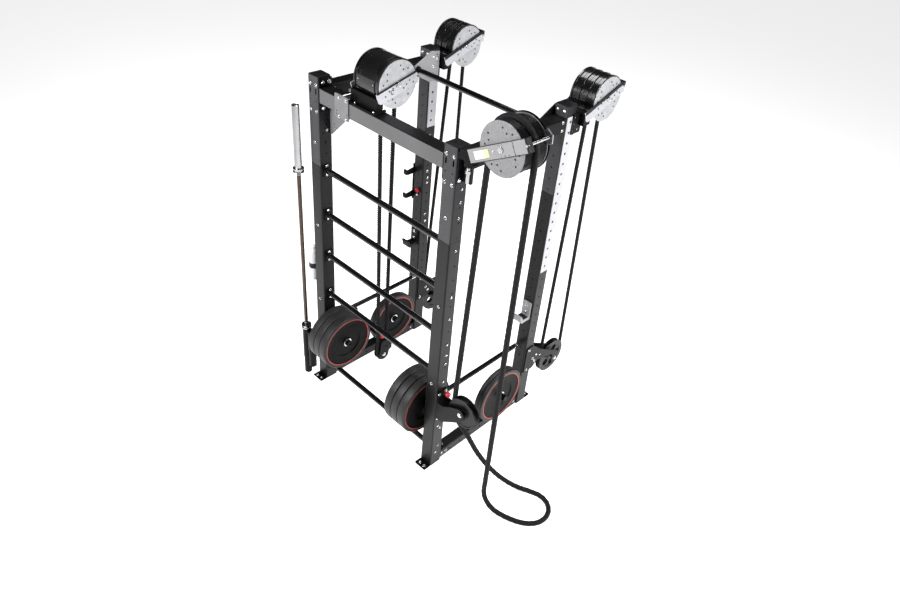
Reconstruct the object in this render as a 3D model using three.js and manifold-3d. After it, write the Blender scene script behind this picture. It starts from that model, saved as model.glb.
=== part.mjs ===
// Power cage with four rope-pull drum units, weight plates on storage pegs, and a stored barbell.
// Millimetres, +Z up. Inside the cage group, x = 0 and y = 0 are the outer faces of the front left
// upright; the group is then moved so that the origin is the centre of the footprint on the floor.
import * as THREE from 'three';
import * as BufferGeometryUtils from 'three/addons/utils/BufferGeometryUtils.js';
import Module from 'manifold-3d';

const wasm = await Module();
wasm.setup();

// Driving dimensions
const WIDTH = 1310;
const DEPTH = 1055;
const HEIGHT = 2510;
const TUBE = 100;
const WALL = 4;
const GAP = 0.3;
const ORIGIN = { x: 850.2, y: 673 };

const BEAM = { y0: 5, y1: 105, z0: 2345, z1: 2443 };
const GUSSET = { x1: 300, y0: 88, y1: 96, z0: 2120, z1: 2302, toe: 118 };
const FRONT_ARM = { y0: 278, y1: 318, z0: 478, z1: 518 };
const WEB_HOLE = { count: 5, r: 32, at: 72 };
const TOP_RAIL = { z0: 2342, z1: 2440 };
const BASE_RAIL = { inset: 10, height: 75 };
const FOOT = { reach: 59, thickness: 8 };
const RUNG = { y: 50, z0: 838, pitch: 342, count: 4, r: 20 };
const BOTTOM_TUBE = { y: 50, z: 140, r: 20 };
const SIDE_BAR = { inset: 80, z: 580, r: 18 };
const PULL_UP = { y: 840, z: 2395, r: 19 };
const BAR_PLATE = 7.7;

const PLATE = { r: 225, thickness: 63, bore: 25.5, y: 50, z: 489 };
const PEG = { r: 24.5, length: 235, collar: 60, collarLength: 16 };
const STORE = { y: 655, z: 323, post: 60, top: 370 };

const DISC = { r: 145, near: 84, far: 88 };
const ARM = { half: 38, near: 88, far: 94 };
const HOOD = { inner: 144, outer: 153, half: 83.5 };
const AXLE = 12;
const ROPE = 14;
const THICK_ROPE = 18;
const ROPE_SIDES = 8;

const BAR = { x: -5, y: -100, z: 85, length: 2240, sleeve: 440, collar: 29.4, shaft: 14 };
const BOTTLE = { x: -60, y: 32, z0: 900, z1: 1200, ringLow: 1006, ringHigh: 1049 };

const cage = new THREE.Group();
cage.position.set(-ORIGIN.x, -ORIGIN.y, 0);

const finish = (color, roughness, metalness) => new THREE.MeshStandardMaterial({ color, roughness, metalness });
const blackPaint = finish(0x1b1b1d, 0.5, 0.3);
const greyPaint = finish(0x9a9a9c, 0.45, 0.4);
const silver = finish(0xc4c5c8, 0.3, 0.9);
const blackPlastic = finish(0x161618, 0.4, 0);
const ropeBlack = finish(0x222224, 0.9, 0);
const rubber = finish(0x2b2b2b, 0.8, 0);
const chrome = finish(0xd8d8d8, 0.15, 1);
const redPlastic = finish(0xb01e2a, 0.4, 0);
const whitePlastic = finish(0xe6e8ea, 0.35, 0);

// A closed mesh as a manifold solid
function solid(geometry) {
  geometry.deleteAttribute('normal');
  geometry.deleteAttribute('uv');
  const merged = BufferGeometryUtils.mergeVertices(geometry, 1e-4);
  const vertProperties = new Float32Array(merged.attributes.position.array);
  const triVerts = new Uint32Array(merged.index.array);
  return new wasm.Manifold(new wasm.Mesh({ numProp: 3, vertProperties, triVerts }));
}

function geometryOf(manifold) {
  const mesh = manifold.getMesh();
  const geometry = new THREE.BufferGeometry();
  geometry.setAttribute('position', new THREE.BufferAttribute(mesh.vertProperties, 3));
  geometry.setIndex(new THREE.BufferAttribute(mesh.triVerts, 1));
  return geometry;
}

function add(name, shape, material, parent = cage) {
  const mesh = new THREE.Mesh(geometryOf(shape), material);
  mesh.name = name;
  parent.add(mesh);
  return mesh;
}

const join = (shapes) => shapes.reduce((sum, shape) => sum.add(shape));
const cut = (shape, tools) => tools.reduce((rest, tool) => rest.subtract(tool), shape);

function box([x0, x1], [y0, y1], [z0, z1]) {
  const geometry = new THREE.BoxGeometry(x1 - x0, y1 - y0, z1 - z0);
  geometry.translate((x0 + x1) / 2, (y0 + y1) / 2, (z0 + z1) / 2);
  return solid(geometry);
}

// Turn a geometry whose own axis is +Z onto +X or +Y, leaving +Z alone
function toAxis(geometry, axis) {
  if (axis === 'x') {
    geometry.rotateY(Math.PI / 2);
  }
  if (axis === 'y') {
    geometry.rotateX(-Math.PI / 2);
  }
  return geometry;
}

// A round solid from [radius, station] pairs, standing on point `at` along an axis
function turned(profile, axis, at, segments) {
  const points = profile.map(([radius, station]) => new THREE.Vector2(radius, station));
  if (THREE.ShapeUtils.area(points) < 0) {
    points.reverse();
  }
  const geometry = new THREE.LatheGeometry([...points, points[0]], segments);
  geometry.rotateX(Math.PI / 2);
  toAxis(geometry, axis);
  geometry.translate(...at);
  return solid(geometry);
}

const rod = (radius, from, to, axis, at, segments = 16) =>
  turned([[0, from], [radius, from], [radius, to], [0, to]], axis, at, segments);

// An outline in the YZ plane, extruded along X
function prismX(outline, x0, x1) {
  const shape = new THREE.Shape(outline.map(([y, z]) => new THREE.Vector2(y, z)));
  const geometry = new THREE.ExtrudeGeometry(shape, { depth: x1 - x0, bevelEnabled: false });
  geometry.applyMatrix4(new THREE.Matrix4().set(0, 0, 1, x0, 1, 0, 0, 0, 0, 1, 0, 0, 0, 0, 0, 1));
  return solid(geometry);
}

// An outline in the XZ plane, extruded along Y
function prismY(outline, y0, y1) {
  const shape = new THREE.Shape(outline.map(([x, z]) => new THREE.Vector2(x, z)));
  const geometry = new THREE.ExtrudeGeometry(shape, { depth: y1 - y0, bevelEnabled: false });
  geometry.applyMatrix4(new THREE.Matrix4().set(1, 0, 0, 0, 0, 0, -1, y1, 0, 1, 0, 0, 0, 0, 0, 1));
  return solid(geometry);
}

// ---- Frame ----

function upright(x, y, footDirection) {
  const tube = box([x, x + TUBE], [y, y + TUBE], [0, HEIGHT]);
  const hollow = box([x + WALL, x + TUBE - WALL], [y + WALL, y + TUBE - WALL], [FOOT.thickness, HEIGHT + 1]);
  const footEdge = footDirection < 0 ? [y - FOOT.reach, y + 1] : [y + TUBE - 1, y + TUBE + FOOT.reach];
  const foot = box([x, x + TUBE], footEdge, [0, FOOT.thickness]);
  return tube.subtract(hollow).add(foot);
}

// A storage peg on the face of an upright, with its collar against that face
function facePeg(x, direction) {
  const profile = [
    [0, -1],
    [PEG.collar, -1],
    [PEG.collar, PEG.collarLength],
    [PEG.r, PEG.collarLength],
    [PEG.r, PEG.length],
    [0, PEG.length],
  ].map(([radius, station]) => [radius, station * direction]);
  return turned(profile, 'x', [x, PLATE.y, PLATE.z], 16);
}

function buildUprights() {
  const right = WIDTH - TUBE;
  const rear = DEPTH - TUBE;
  add('upright_front_left', join([upright(0, 0, -1), facePeg(TUBE, 1)]), blackPaint);
  add('upright_front_right', join([upright(right, 0, -1), facePeg(right, -1)]), blackPaint);
  add('upright_rear_left', upright(0, rear, 1), blackPaint);
  add('upright_rear_right', upright(right, rear, 1), blackPaint);
}

// A floor rail with a short post and a peg that hold a plate just above it
function baseRail(x0) {
  const ends = [TUBE + GAP, DEPTH - TUBE - GAP];
  const x = [x0 + BASE_RAIL.inset, x0 + TUBE - BASE_RAIL.inset];
  const rail = box(x, ends, [0, BASE_RAIL.height]);
  const bore = box([x[0] + WALL, x[1] - WALL], [ends[0] - 1, ends[1] + 1], [WALL, BASE_RAIL.height - WALL]);
  const half = STORE.post / 2;
  const centre = x0 + TUBE / 2;
  const post = box([centre - half, centre + half], [STORE.y - half, STORE.y + half], [BASE_RAIL.height - 1, STORE.top]);
  const peg = rod(PEG.r, 0, 150, 'x', [centre, STORE.y, STORE.z], 16);
  return join([rail.subtract(bore), post, peg]);
}

function buildBaseRails() {
  add('base_rail_left', baseRail(0), blackPaint);
  add('base_rail_right', baseRail(WIDTH - TUBE), blackPaint);
}

// Front beam with raised end plates and a triangular gusset under its left end
function buildFrontBeam() {
  const ends = [TUBE + GAP, WIDTH - TUBE - GAP];
  const y = [BEAM.y0, BEAM.y1];
  const tube = box(ends, y, [BEAM.z0, BEAM.z1]);
  const bore = box(
    [ends[0] + WALL, ends[1] - WALL],
    [BEAM.y0 + WALL, BEAM.y1 - WALL],
    [BEAM.z0 + WALL, BEAM.z1 - WALL],
  );
  const mouth = box([600, 700], [BEAM.y1 - WALL - 1, BEAM.y1 + 1], [BEAM.z0 + 30, BEAM.z1 - 30]);
  const plates = [
    box([ends[0], ends[0] + 8], y, [BEAM.z0 - 60, HEIGHT - 8]),
    box([ends[1] - 8, ends[1]], y, [BEAM.z0 - 60, HEIGHT - 8]),
  ];
  const gusset = prismY(
    [
      [ends[0], BEAM.z0 + 1],
      [ends[0], GUSSET.z0],
      [GUSSET.toe, GUSSET.z0],
      [GUSSET.x1, GUSSET.z1],
      [GUSSET.x1, BEAM.z0 + 1],
    ],
    GUSSET.y0,
    GUSSET.y1,
  );
  add('front_beam', join([cut(tube, [bore, mouth]), ...plates, gusset]), blackPaint);
}

function buildTopRails() {
  for (const [name, x0] of [['top_rail_left', 0], ['top_rail_right', WIDTH - TUBE]]) {
    const ends = [TUBE + GAP, DEPTH - TUBE - GAP];
    const tube = box([x0, x0 + TUBE], ends, [TOP_RAIL.z0, TOP_RAIL.z1]);
    const bore = box(
      [x0 + WALL, x0 + TUBE - WALL],
      [ends[0] - 1, ends[1] + 1],
      [TOP_RAIL.z0 + WALL, TOP_RAIL.z1 - WALL],
    );
    add(name, tube.subtract(bore), blackPaint);
  }
}

// A round cross tube between two faces, with a bolted flange plate at each end
function crossTube(from, to, y, z, radius) {
  const flange = 6;
  const half = [32, 45];
  const bar = rod(radius, from + GAP, to - GAP, 'x', [0, y, z], 14);
  const plate = (x) => box([x, x + flange], [y - half[0], y + half[0]], [z - half[1], z + half[1]]);
  return join([bar, plate(from + GAP), plate(to - GAP - flange)]);
}

function buildCrossTubes() {
  const span = [TUBE, WIDTH - TUBE];
  for (let i = 0; i < RUNG.count; i += 1) {
    const z = RUNG.z0 + i * RUNG.pitch;
    add(`rung_${i + 1}`, crossTube(...span, RUNG.y, z, RUNG.r), blackPaint);
  }
  add('bottom_tube', crossTube(...span, BOTTOM_TUBE.y, BOTTOM_TUBE.z, BOTTOM_TUBE.r), blackPaint);
}

function buildSideBars() {
  for (const [name, x] of [['side_bar_left', SIDE_BAR.inset], ['side_bar_right', WIDTH - SIDE_BAR.inset]]) {
    const ends = [TUBE + GAP, DEPTH - TUBE - GAP];
    add(name, rod(SIDE_BAR.r, ends[0], ends[1], 'y', [x, 0, SIDE_BAR.z], 14), blackPaint);
  }
}

// Light gusset plates on the inner faces of the rear uprights, carrying the pull-up bar
function buildPullUpBar() {
  const outline = [
    [DEPTH - 12, 2490],
    [DEPTH - 90, 2502],
    [812, 2425],
    [812, 2368],
    [836, 2352],
    [DEPTH - TUBE, 2285],
    [DEPTH - 12, 2285],
  ];
  const left = TUBE + GAP;
  const right = WIDTH - TUBE - GAP;
  add('bar_plate_left', prismX(outline, left, left + BAR_PLATE), greyPaint);
  add('bar_plate_right', prismX(outline, right - BAR_PLATE, right), greyPaint);
  const ends = [left + BAR_PLATE + GAP, right - BAR_PLATE - GAP];
  add('pull_up_bar', rod(PULL_UP.r, ends[0], ends[1], 'x', [0, PULL_UP.y, PULL_UP.z], 16), blackPaint);
}

// ---- Drum units: local +X is the drum's axis, local +Y the way the arm points ----

// Arm side plate: a straight band with cut corners that rises through the drum's axis
function armPlate(unit, x0, x1) {
  const c = Math.cos(unit.rise);
  const s = Math.sin(unit.rise);
  const at = (along, across) => [along * c - across * s, along * s + across * c + unit.drop];
  const cornerCut = 18;
  const outline = [
    at(-unit.tail, -ARM.half + cornerCut),
    at(-unit.tail + cornerCut, -ARM.half),
    at(unit.tip, -ARM.half),
    at(unit.tip + cornerCut, 0),
    at(unit.tip, ARM.half),
    at(-unit.tail, ARM.half),
  ];
  return prismX(outline, x0, x1);
}

function sideCheek(unit, side) {
  const shift = side < 0 ? -unit.deep : 0;
  const disc = rod(DISC.r, DISC.near * side + shift, (DISC.far + 1) * side + shift, 'x', [0, 0, 0], 26);
  const edges = [ARM.near * side + shift, ARM.far * side + shift].sort((a, b) => a - b);
  return disc.add(armPlate(unit, edges[0], edges[1]));
}

// Arm frame: two cheeks on one axle, tied by a base block and a tip rod
function armFrame(unit) {
  const tip = [unit.rodAt * Math.cos(unit.rise), unit.rodAt * Math.sin(unit.rise) + unit.drop];
  const width = [1 - ARM.far - unit.deep, ARM.far - 1];
  const parts = [
    sideCheek(unit, 1),
    sideCheek(unit, -1),
    rod(AXLE, -ARM.far - 8 - unit.deep, ARM.far + 8, 'x', [0, 0, 0], 16),
    rod(9, unit.tipRod[0] - unit.deep, unit.tipRod[1], 'x', [0, tip[0], tip[1]], 12),
    box(width, unit.base.y, unit.base.z),
  ];
  return parts;
}

// Rope drum: two broad shoulders with a groove between them
function drumSolid(unit) {
  const bore = AXLE + 0.6;
  const half = unit.halfWidth;
  const groove = unit.rope + 4;
  const profile = [
    [bore, -half - unit.deep],
    [unit.shoulder, -half - unit.deep],
    [unit.shoulder, -groove],
    [unit.grooveRadius, -groove + 4],
    [unit.grooveRadius, groove - 4],
    [unit.shoulder, groove],
    [unit.shoulder, half],
    [bore, half],
  ];
  return turned(profile, 'x', [0, 0, 0], 22);
}

// Hood: a shell over the drum from above the arm's tip, over the top and down its front
function hoodSolid(unit) {
  const start = THREE.MathUtils.degToRad(unit.hood[0]);
  const end = THREE.MathUtils.degToRad(unit.hood[1]);
  const shape = new THREE.Shape();
  shape.absarc(0, 0, HOOD.outer, start, end, false);
  shape.absarc(0, 0, HOOD.inner, end, start, true);
  shape.closePath();
  const outline = shape.extractPoints(9).shape.map((point) => [point.x, point.y]);
  return prismX(outline, -HOOD.half - unit.deep, HOOD.half);
}

const RAIL_UNIT = {
  rise: THREE.MathUtils.degToRad(19),
  drop: 0,
  tail: 232,
  tip: 160,
  rodAt: 168,
  tipRod: [-ARM.far - 4, ARM.far + 4],
  base: { y: [-232, -165], z: [-125, -45] },
  halfWidth: 80,
  deep: 16,
  rope: ROPE,
  shoulder: 128,
  grooveRadius: 36,
  hood: [24, 214],
};
const FRONT_UNIT = {
  ...RAIL_UNIT,
  rise: THREE.MathUtils.degToRad(15),
  drop: -20,
  tail: 165,
  tip: 150,
  rodAt: 158,
  deep: 52,
  base: { y: [-165, -128], z: [-139, -60] },
  hood: [18, 200],
};
const SIDE_UNIT = {
  ...RAIL_UNIT,
  rise: THREE.MathUtils.degToRad(29),
  drop: -4,
  tail: 228,
  tip: 168,
  rodAt: 176,
  tipRod: [-152, ARM.far + 4],
  base: { y: [-232, -195], z: [-185, -75] },
  deep: 0,
  rope: THICK_ROPE,
  shoulder: 140,
  grooveRadius: 121,
};

function placeUnit(x, y, z, turn) {
  const group = new THREE.Group();
  group.position.set(x, y, z);
  group.rotation.z = turn;
  cage.add(group);
  return group;
}

const UNIT_1 = { x: 520, y: 202, z: 2588, bottomY: 205, bottomZ: 446, bottomR: 38, topR: 56 };
const UNIT_2 = { x: 50, y: 1290, z: 2487, bottomY: 1225, bottomZ: 255, bottomR: 140, topR: 65 };
const UNIT_4 = { x: WIDTH - 50, y: 1320, z: 2492, bottomY: 1375, bottomZ: 255, bottomR: 130, topR: 65 };
const UNIT_3 = { x: 1633, y: 50, z: 2642, bottomX: 1526, bottomZ: 687, bottomR: 96, topR: 145 };

// Unit 1 straddles the front beam with a clamp: two plates tied by four rods, and a foot on the beam
function beamClamp() {
  const x = [271, 399];
  const z = [2325, 2474];
  const rods = [];
  for (const rodX of [312, 380]) {
    rods.push(rod(7, -3, 112, 'y', [rodX, 0, BEAM.z1 + 12], 12));
    rods.push(rod(7, -3, 112, 'y', [rodX, 0, BEAM.z0 - 10], 12));
  }
  return join([
    box(x, [-4, 4.7], z),
    box(x, [BEAM.y1 + GAP, BEAM.y1 + 8], z),
    box([262, 620], [8, 108], [BEAM.z1 + GAP, BEAM.z1 + 10]),
    ...rods,
  ]);
}

function buildUnit1() {
  const place = placeUnit(UNIT_1.x, UNIT_1.y, UNIT_1.z, 0);
  const clamp = beamClamp().translate([-UNIT_1.x, -UNIT_1.y, -UNIT_1.z]);
  add('drum_arm_front', join([...armFrame(FRONT_UNIT), clamp]), silver, place);
  add('drum_front', drumSolid(FRONT_UNIT), blackPlastic, place);
  add('drum_hood_front', hoodSolid(FRONT_UNIT), blackPlastic, place);
}

// Units 2 and 4 bolt to the back face of a rear upright
function buildRearUnit(suffix, unit) {
  const place = placeUnit(unit.x, unit.y, unit.z, 0);
  const back = DEPTH - unit.y + GAP;
  const plate = box([-TUBE / 2, TUBE / 2], [back, back + 8], [-190, -20]);
  const spacer = box([-44, 44], [back + 7, -200], [-120, -50]);
  add(`drum_arm_${suffix}`, join([...armFrame(RAIL_UNIT), plate, spacer]), silver, place);
  add(`drum_${suffix}`, drumSolid(RAIL_UNIT), blackPlastic, place);
  add(`drum_hood_${suffix}`, hoodSolid(RAIL_UNIT), blackPlastic, place);
}

// Unit 3 stands off the right face of the front right upright on a black hinge bracket
function buildUnit3() {
  const place = placeUnit(UNIT_3.x, UNIT_3.y, UNIT_3.z, -Math.PI / 2);
  const face = WIDTH - UNIT_3.x + GAP;
  const mount = [
    box([-45, 45], [face, face + 10], [-345, -150]),
    box([-45, 45], [face + 9, -194], [-185, -125]),
    box([-9, 9], [face + 9, face + 75], [-330, -184]),
  ];
  const flange = rod(151, -ARM.far - 6, -ARM.far + 1, 'x', [0, 0, 0], 26);
  add('drum_arm_side', join([...armFrame(SIDE_UNIT), flange, ...mount]), silver, place);
  add('drum_side', drumSolid(SIDE_UNIT), blackPlastic, place);
}

// ---- Bottom pulleys ----

function pulleySolid(ropeRadius, rope, axis, at) {
  const bore = AXLE + 0.6;
  const rim = ropeRadius + 16;
  const groove = ropeRadius - rope - 4;
  const half = rope + 6;
  const profile = [
    [bore, -half],
    [rim, -half],
    [rim, 3 - half],
    [groove, 7 - half],
    [groove, half - 7],
    [rim, half - 3],
    [rim, half],
    [bore, half],
  ];
  return turned(profile, axis, at, 20);
}

// A large pulley, its web opened by a ring of round holes
function openPulley(ropeRadius, at) {
  const holes = [];
  for (let i = 0; i < WEB_HOLE.count; i += 1) {
    const angle = (2 * Math.PI * i) / WEB_HOLE.count;
    const centre = [at[0], at[1] + WEB_HOLE.at * Math.cos(angle), at[2] + WEB_HOLE.at * Math.sin(angle)];
    holes.push(rod(WEB_HOLE.r, -ROPE - 8, ROPE + 8, 'x', centre, 14));
  }
  return cut(pulleySolid(ropeRadius, ROPE, 'x', at), holes);
}

// Two cheek plates along the sides of a rear upright, reaching back to the pulley's axle
function rearPulleyBracket(unit) {
  const outline = [
    [DEPTH - 85, 568],
    [DEPTH - 12, 568],
    [1162, 465],
    [unit.bottomY + 34, unit.bottomZ + 60],
    [unit.bottomY + 34, unit.bottomZ - 20],
    [unit.bottomY, unit.bottomZ - 38],
    [unit.bottomY - 34, unit.bottomZ - 20],
    [unit.bottomY - 40, unit.bottomZ + 60],
    [1130, 375],
    [1072, 327],
    [DEPTH - 85, 327],
  ];
  const outer = TUBE / 2 + GAP;
  return join([
    prismX(outline, unit.x + outer, unit.x + outer + 7),
    prismX(outline, unit.x - outer - 7, unit.x - outer),
    rod(AXLE, -outer - 1, outer + 1, 'x', [unit.x, unit.bottomY, unit.bottomZ], 16),
    rod(10, -outer - 1, outer + 1, 'x', [unit.x, DEPTH + 95, 420], 12),
  ]);
}

// An arm reaching in from the left side bar, ending in a fork that hangs the front unit's pulley
function frontPulleyBracket() {
  const cheek = [
    [FRONT_ARM.y0, FRONT_ARM.z1],
    [FRONT_ARM.y0, FRONT_ARM.z0],
    [252, 462],
    [236, 412],
    [205, 398],
    [176, 412],
    [166, 446],
    [178, 578],
    [232, 578],
  ];
  const ear = [
    [FRONT_ARM.y0 - 2, FRONT_ARM.z0],
    [FRONT_ARM.y1, FRONT_ARM.z0],
    [FRONT_ARM.y1, FRONT_ARM.z1],
    [FRONT_ARM.y0 - 2, FRONT_ARM.z1],
  ];
  const x = UNIT_1.x;
  const left = SIDE_BAR.inset - 20;
  const y = [FRONT_ARM.y0, FRONT_ARM.y1];
  return join([
    box([left, x - 28], y, [FRONT_ARM.z0, FRONT_ARM.z1]),
    box([left, left + 40], y, [FRONT_ARM.z1 - 1, SIDE_BAR.z - SIDE_BAR.r - GAP]),
    prismX(ear, x - 31, x - 26),
    prismX(cheek, x - 31, x - 26),
    prismX(cheek, x + 26, x + 31),
    box([x - 27, x + 27], [190, 220], [560, 578]),
    rod(AXLE, -30, 30, 'x', [x, UNIT_1.bottomY, UNIT_1.bottomZ], 16),
  ]);
}

// A plate on the right face of the front right upright with two curved cheeks around the pulley
function sidePulleyBracket() {
  const cheek = [
    [WIDTH + 8, 500],
    [WIDTH + 60, 505],
    [1480, 590],
    [1545, 640],
    [1565, 685],
    [1545, 725],
    [1510, 730],
    [WIDTH + 60, 650],
    [WIDTH + 8, 650],
  ];
  const y = PLATE.y;
  return join([
    box([WIDTH + GAP, WIDTH + 8.5], [y - 47, y + 47], [470, 730]),
    prismY(cheek, y - 47, y - 40),
    prismY(cheek, y + 40, y + 47),
    rod(AXLE, -44, 44, 'y', [UNIT_3.bottomX, y, UNIT_3.bottomZ], 16),
  ]);
}

function buildPulleys() {
  add('pulley_bracket_front', frontPulleyBracket(), blackPaint);
  add('pulley_front', pulleySolid(UNIT_1.bottomR, ROPE, 'x', [UNIT_1.x, UNIT_1.bottomY, UNIT_1.bottomZ]), blackPlastic);
  add('pulley_bracket_side', sidePulleyBracket(), blackPaint);
  add('pulley_side', pulleySolid(UNIT_3.bottomR, THICK_ROPE, 'y', [UNIT_3.bottomX, PLATE.y, UNIT_3.bottomZ]), blackPlastic);
  for (const [suffix, unit] of [['rear_left', UNIT_2], ['rear_right', UNIT_4]]) {
    add(`pulley_bracket_${suffix}`, rearPulleyBracket(unit), blackPaint);
    add(`pulley_${suffix}`, openPulley(unit.bottomR, [unit.x, unit.bottomY, unit.bottomZ]), blackPlastic);
  }
}

// ---- Ropes ----

// The path of an open belt round a top and a bottom wheel, in a plane of constant x or y.
// It starts and ends at the top of the upper wheel, where the rope's splice sits.
class BeltCurve extends THREE.Curve {
  constructor(top, bottom, plane, offset, span, crown = Math.PI / 2) {
    super();
    this.crown = crown;
    this.top = top;
    this.bottom = bottom;
    this.plane = plane;
    this.offset = offset;
    this.span = span;
    const reach = Math.hypot(top.a - bottom.a, top.z - bottom.z);
    const lean = Math.atan2(bottom.a - top.a, top.z - bottom.z);
    const flare = Math.asin((bottom.r - top.r) / reach);
    this.leftAngle = Math.PI - flare + lean;
    this.rightAngle = flare + lean;
  }

  on(wheel, angle) {
    return [wheel.a + wheel.r * Math.cos(angle), wheel.z + wheel.r * Math.sin(angle)];
  }

  // Equal shares of the parameter: two for each arc, three for each straight
  getPoint(t, target = new THREE.Vector3()) {
    const leg = (this.span[0] + (this.span[1] - this.span[0]) * t) * 10;
    const mix = (from, to, share) => from + (to - from) * share;
    let place;
    if (leg <= 1) {
      place = this.on(this.top, mix(this.crown, this.leftAngle, leg));
    } else if (leg <= 4) {
      const from = this.on(this.top, this.leftAngle);
      const to = this.on(this.bottom, this.leftAngle);
      place = [mix(from[0], to[0], (leg - 1) / 3), mix(from[1], to[1], (leg - 1) / 3)];
    } else if (leg <= 6) {
      place = this.on(this.bottom, mix(this.leftAngle, this.rightAngle + 2 * Math.PI, (leg - 4) / 2));
    } else if (leg <= 9) {
      const from = this.on(this.bottom, this.rightAngle);
      const to = this.on(this.top, this.rightAngle);
      place = [mix(from[0], to[0], (leg - 6) / 3), mix(from[1], to[1], (leg - 6) / 3)];
    } else {
      place = this.on(this.top, mix(this.rightAngle, this.crown, leg - 9));
    }
    if (this.plane === 'x') {
      return target.set(this.offset, place[0], place[1]);
    }
    return target.set(place[0], this.offset, place[1]);
  }

  getUtoTmapping(u) {
    return u;
  }
}

function ropeAlong(curve, steps, radius) {
  const section = new THREE.Shape();
  section.absarc(0, 0, radius, 0, 2 * Math.PI);
  const options = { steps, curveSegments: ROPE_SIDES / 2, bevelEnabled: false, extrudePath: curve };
  return solid(new THREE.ExtrudeGeometry(section, options));
}

const WHOLE_LOOP = [0.0006, 0.9994];
const HELD_END = 0.4132;

function beltLoop(unit) {
  const top = { a: unit.y, z: unit.z, r: unit.topR };
  const bottom = { a: unit.bottomY, z: unit.bottomZ, r: unit.bottomR };
  return ropeAlong(new BeltCurve(top, bottom, 'x', unit.x, WHOLE_LOOP), 50, ROPE);
}

// The side unit's rope where it is held: over the drum, down the left and onto its pulley
function heldRope() {
  const top = { a: UNIT_3.x, z: UNIT_3.z, r: UNIT_3.topR };
  const bottom = { a: UNIT_3.bottomX, z: UNIT_3.bottomZ, r: UNIT_3.bottomR };
  return ropeAlong(new BeltCurve(top, bottom, 'y', UNIT_3.y, [0, HELD_END], 0), 30, THICK_ROPE);
}

// Its slack: from the drum's right side to the floor, round a loose bend, and up to the pulley
const SLACK_ROUTE = [
  [1778, 50, 2641.7],
  [1778, 50, 2350],
  [1778, 50, 1900],
  [1778, 50, 1400],
  [1778, 50, 900],
  [1778, 50, 450],
  [1778, 50, 220],
  [1778, 50, 128.5],
  [1792.7, 50, 73.5],
  [1833, 50, 33.2],
  [1888, 52, 18.5],
  [1942, 60, 18.5],
  [2002, 78, 18.5],
  [2062, 105, 18.5],
  [2118, 146, 18.5],
  [2156, 202, 18.5],
  [2165, 267, 18.5],
  [2143, 330, 18.5],
  [2090, 373, 18.5],
  [2020, 382, 18.5],
  [1950, 358, 18.5],
  [1864.5, 308, 33],
  [1779, 256, 77],
  [1693.5, 204, 155],
  [1608, 152, 274],
  [1524, 98, 448],
  [1480, 68, 535],
  [1454, 52, 588],
  [1441, 50, 627],
  [1436, 50, 664],
];

function slackRope() {
  const points = SLACK_ROUTE.map((point) => new THREE.Vector3(...point));
  return ropeAlong(new THREE.CatmullRomCurve3(points, false, 'centripetal'), 48, THICK_ROPE);
}

function buildRopes() {
  add('rope_front', beltLoop(UNIT_1), ropeBlack);
  add('rope_rear_left', beltLoop(UNIT_2), ropeBlack);
  add('rope_rear_right', beltLoop(UNIT_4), ropeBlack);
  add('rope_side_held', heldRope(), ropeBlack);
  add('rope_side_slack', slackRope(), ropeBlack);
}

// ---- Plates ----

// A run of plates on one sleeve, with a groove between neighbours and a dished face
function platesSolid(count, thickness) {
  const groove = 2;
  const pitch = thickness + groove;
  const profile = [[PLATE.bore, 0]];
  for (let i = 0; i < count; i += 1) {
    const start = i * pitch;
    profile.push([PLATE.r - 8, start], [PLATE.r, start + 8], [PLATE.r, start + thickness - 8]);
    profile.push([PLATE.r - 8, start + thickness]);
    if (i < count - 1) {
      profile.push([120, start + thickness], [120, start + pitch]);
    }
  }
  const end = count * pitch - groove;
  profile.push([112, end - 6], [PLATE.bore, end - 6]);
  return profile;
}

function plates(name, profile, x, y, z) {
  add(name, turned(profile, 'x', [x, y, z], 26), rubber);
}

function buildPlates() {
  const first = TUBE + PEG.collarLength + 3;
  const pitch = PLATE.thickness + 2;
  plates('plates_left_inner', platesSolid(2, PLATE.thickness), first, PLATE.y, PLATE.z);
  plates('plate_left_outer', platesSolid(1, PLATE.thickness), first + 2 * pitch, PLATE.y, PLATE.z);
  const last = WIDTH - TUBE - PEG.collarLength - 12;
  plates('plates_right_inner', platesSolid(2, PLATE.thickness), last - 2 * pitch, PLATE.y, PLATE.z);
  plates('plate_right_outer', platesSolid(1, PLATE.thickness), last - 3 * pitch, PLATE.y, PLATE.z);
  plates('plate_rear_left', platesSolid(1, PLATE.thickness), 106, STORE.y, STORE.z);
  plates('plates_rear_right', platesSolid(2, 35), 1296, STORE.y, STORE.z);
}

// ---- Fittings ----

function hookPlate() {
  const hook = (z) =>
    prismX([[954, z - 12], [875, z - 12], [852, z + 6], [852, z + 40], [866, z + 40], [880, z + 20], [954, z + 30]], -8, 12);
  const plate = box([-8, -GAP], [950, 1045], [1290, 1600]);
  return join([plate, hook(1336), hook(1538)]);
}

// J-cup: a channel on the front face of a rear upright, with a lipped shelf
function jCup(x0, z) {
  const front = DEPTH - TUBE - GAP;
  const outline = [
    [front, z + 140],
    [front, z - 5],
    [front - 95, z - 5],
    [front - 110, z + 60],
    [front - 96, z + 60],
    [front - 78, z + 22],
    [front - 12, z + 22],
    [front - 12, z + 140],
  ];
  return prismX(outline, x0 + 14, x0 + TUBE - 14);
}

function barHolder() {
  const high = BAR.z + BAR.sleeve;
  const tube = (x, low) =>
    turned([[27.5, low], [31, low], [31, high], [27.5, high]], 'z', [x, BAR.y, 0], 16);
  const second = BAR.x + 66;
  return join([
    tube(BAR.x, BAR.z - 5),
    tube(second, 180),
    rod(28, BAR.z - 9, BAR.z - GAP, 'z', [BAR.x, BAR.y, 0], 16),
    box([BAR.x - 15, second + 15], [-12, -GAP], [300, 420]),
    box([BAR.x - 10, BAR.x + 10], [BAR.y + 29, -11], [310, 410]),
    box([second - 10, second + 10], [BAR.y + 29, -11], [310, 410]),
  ]);
}

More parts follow.
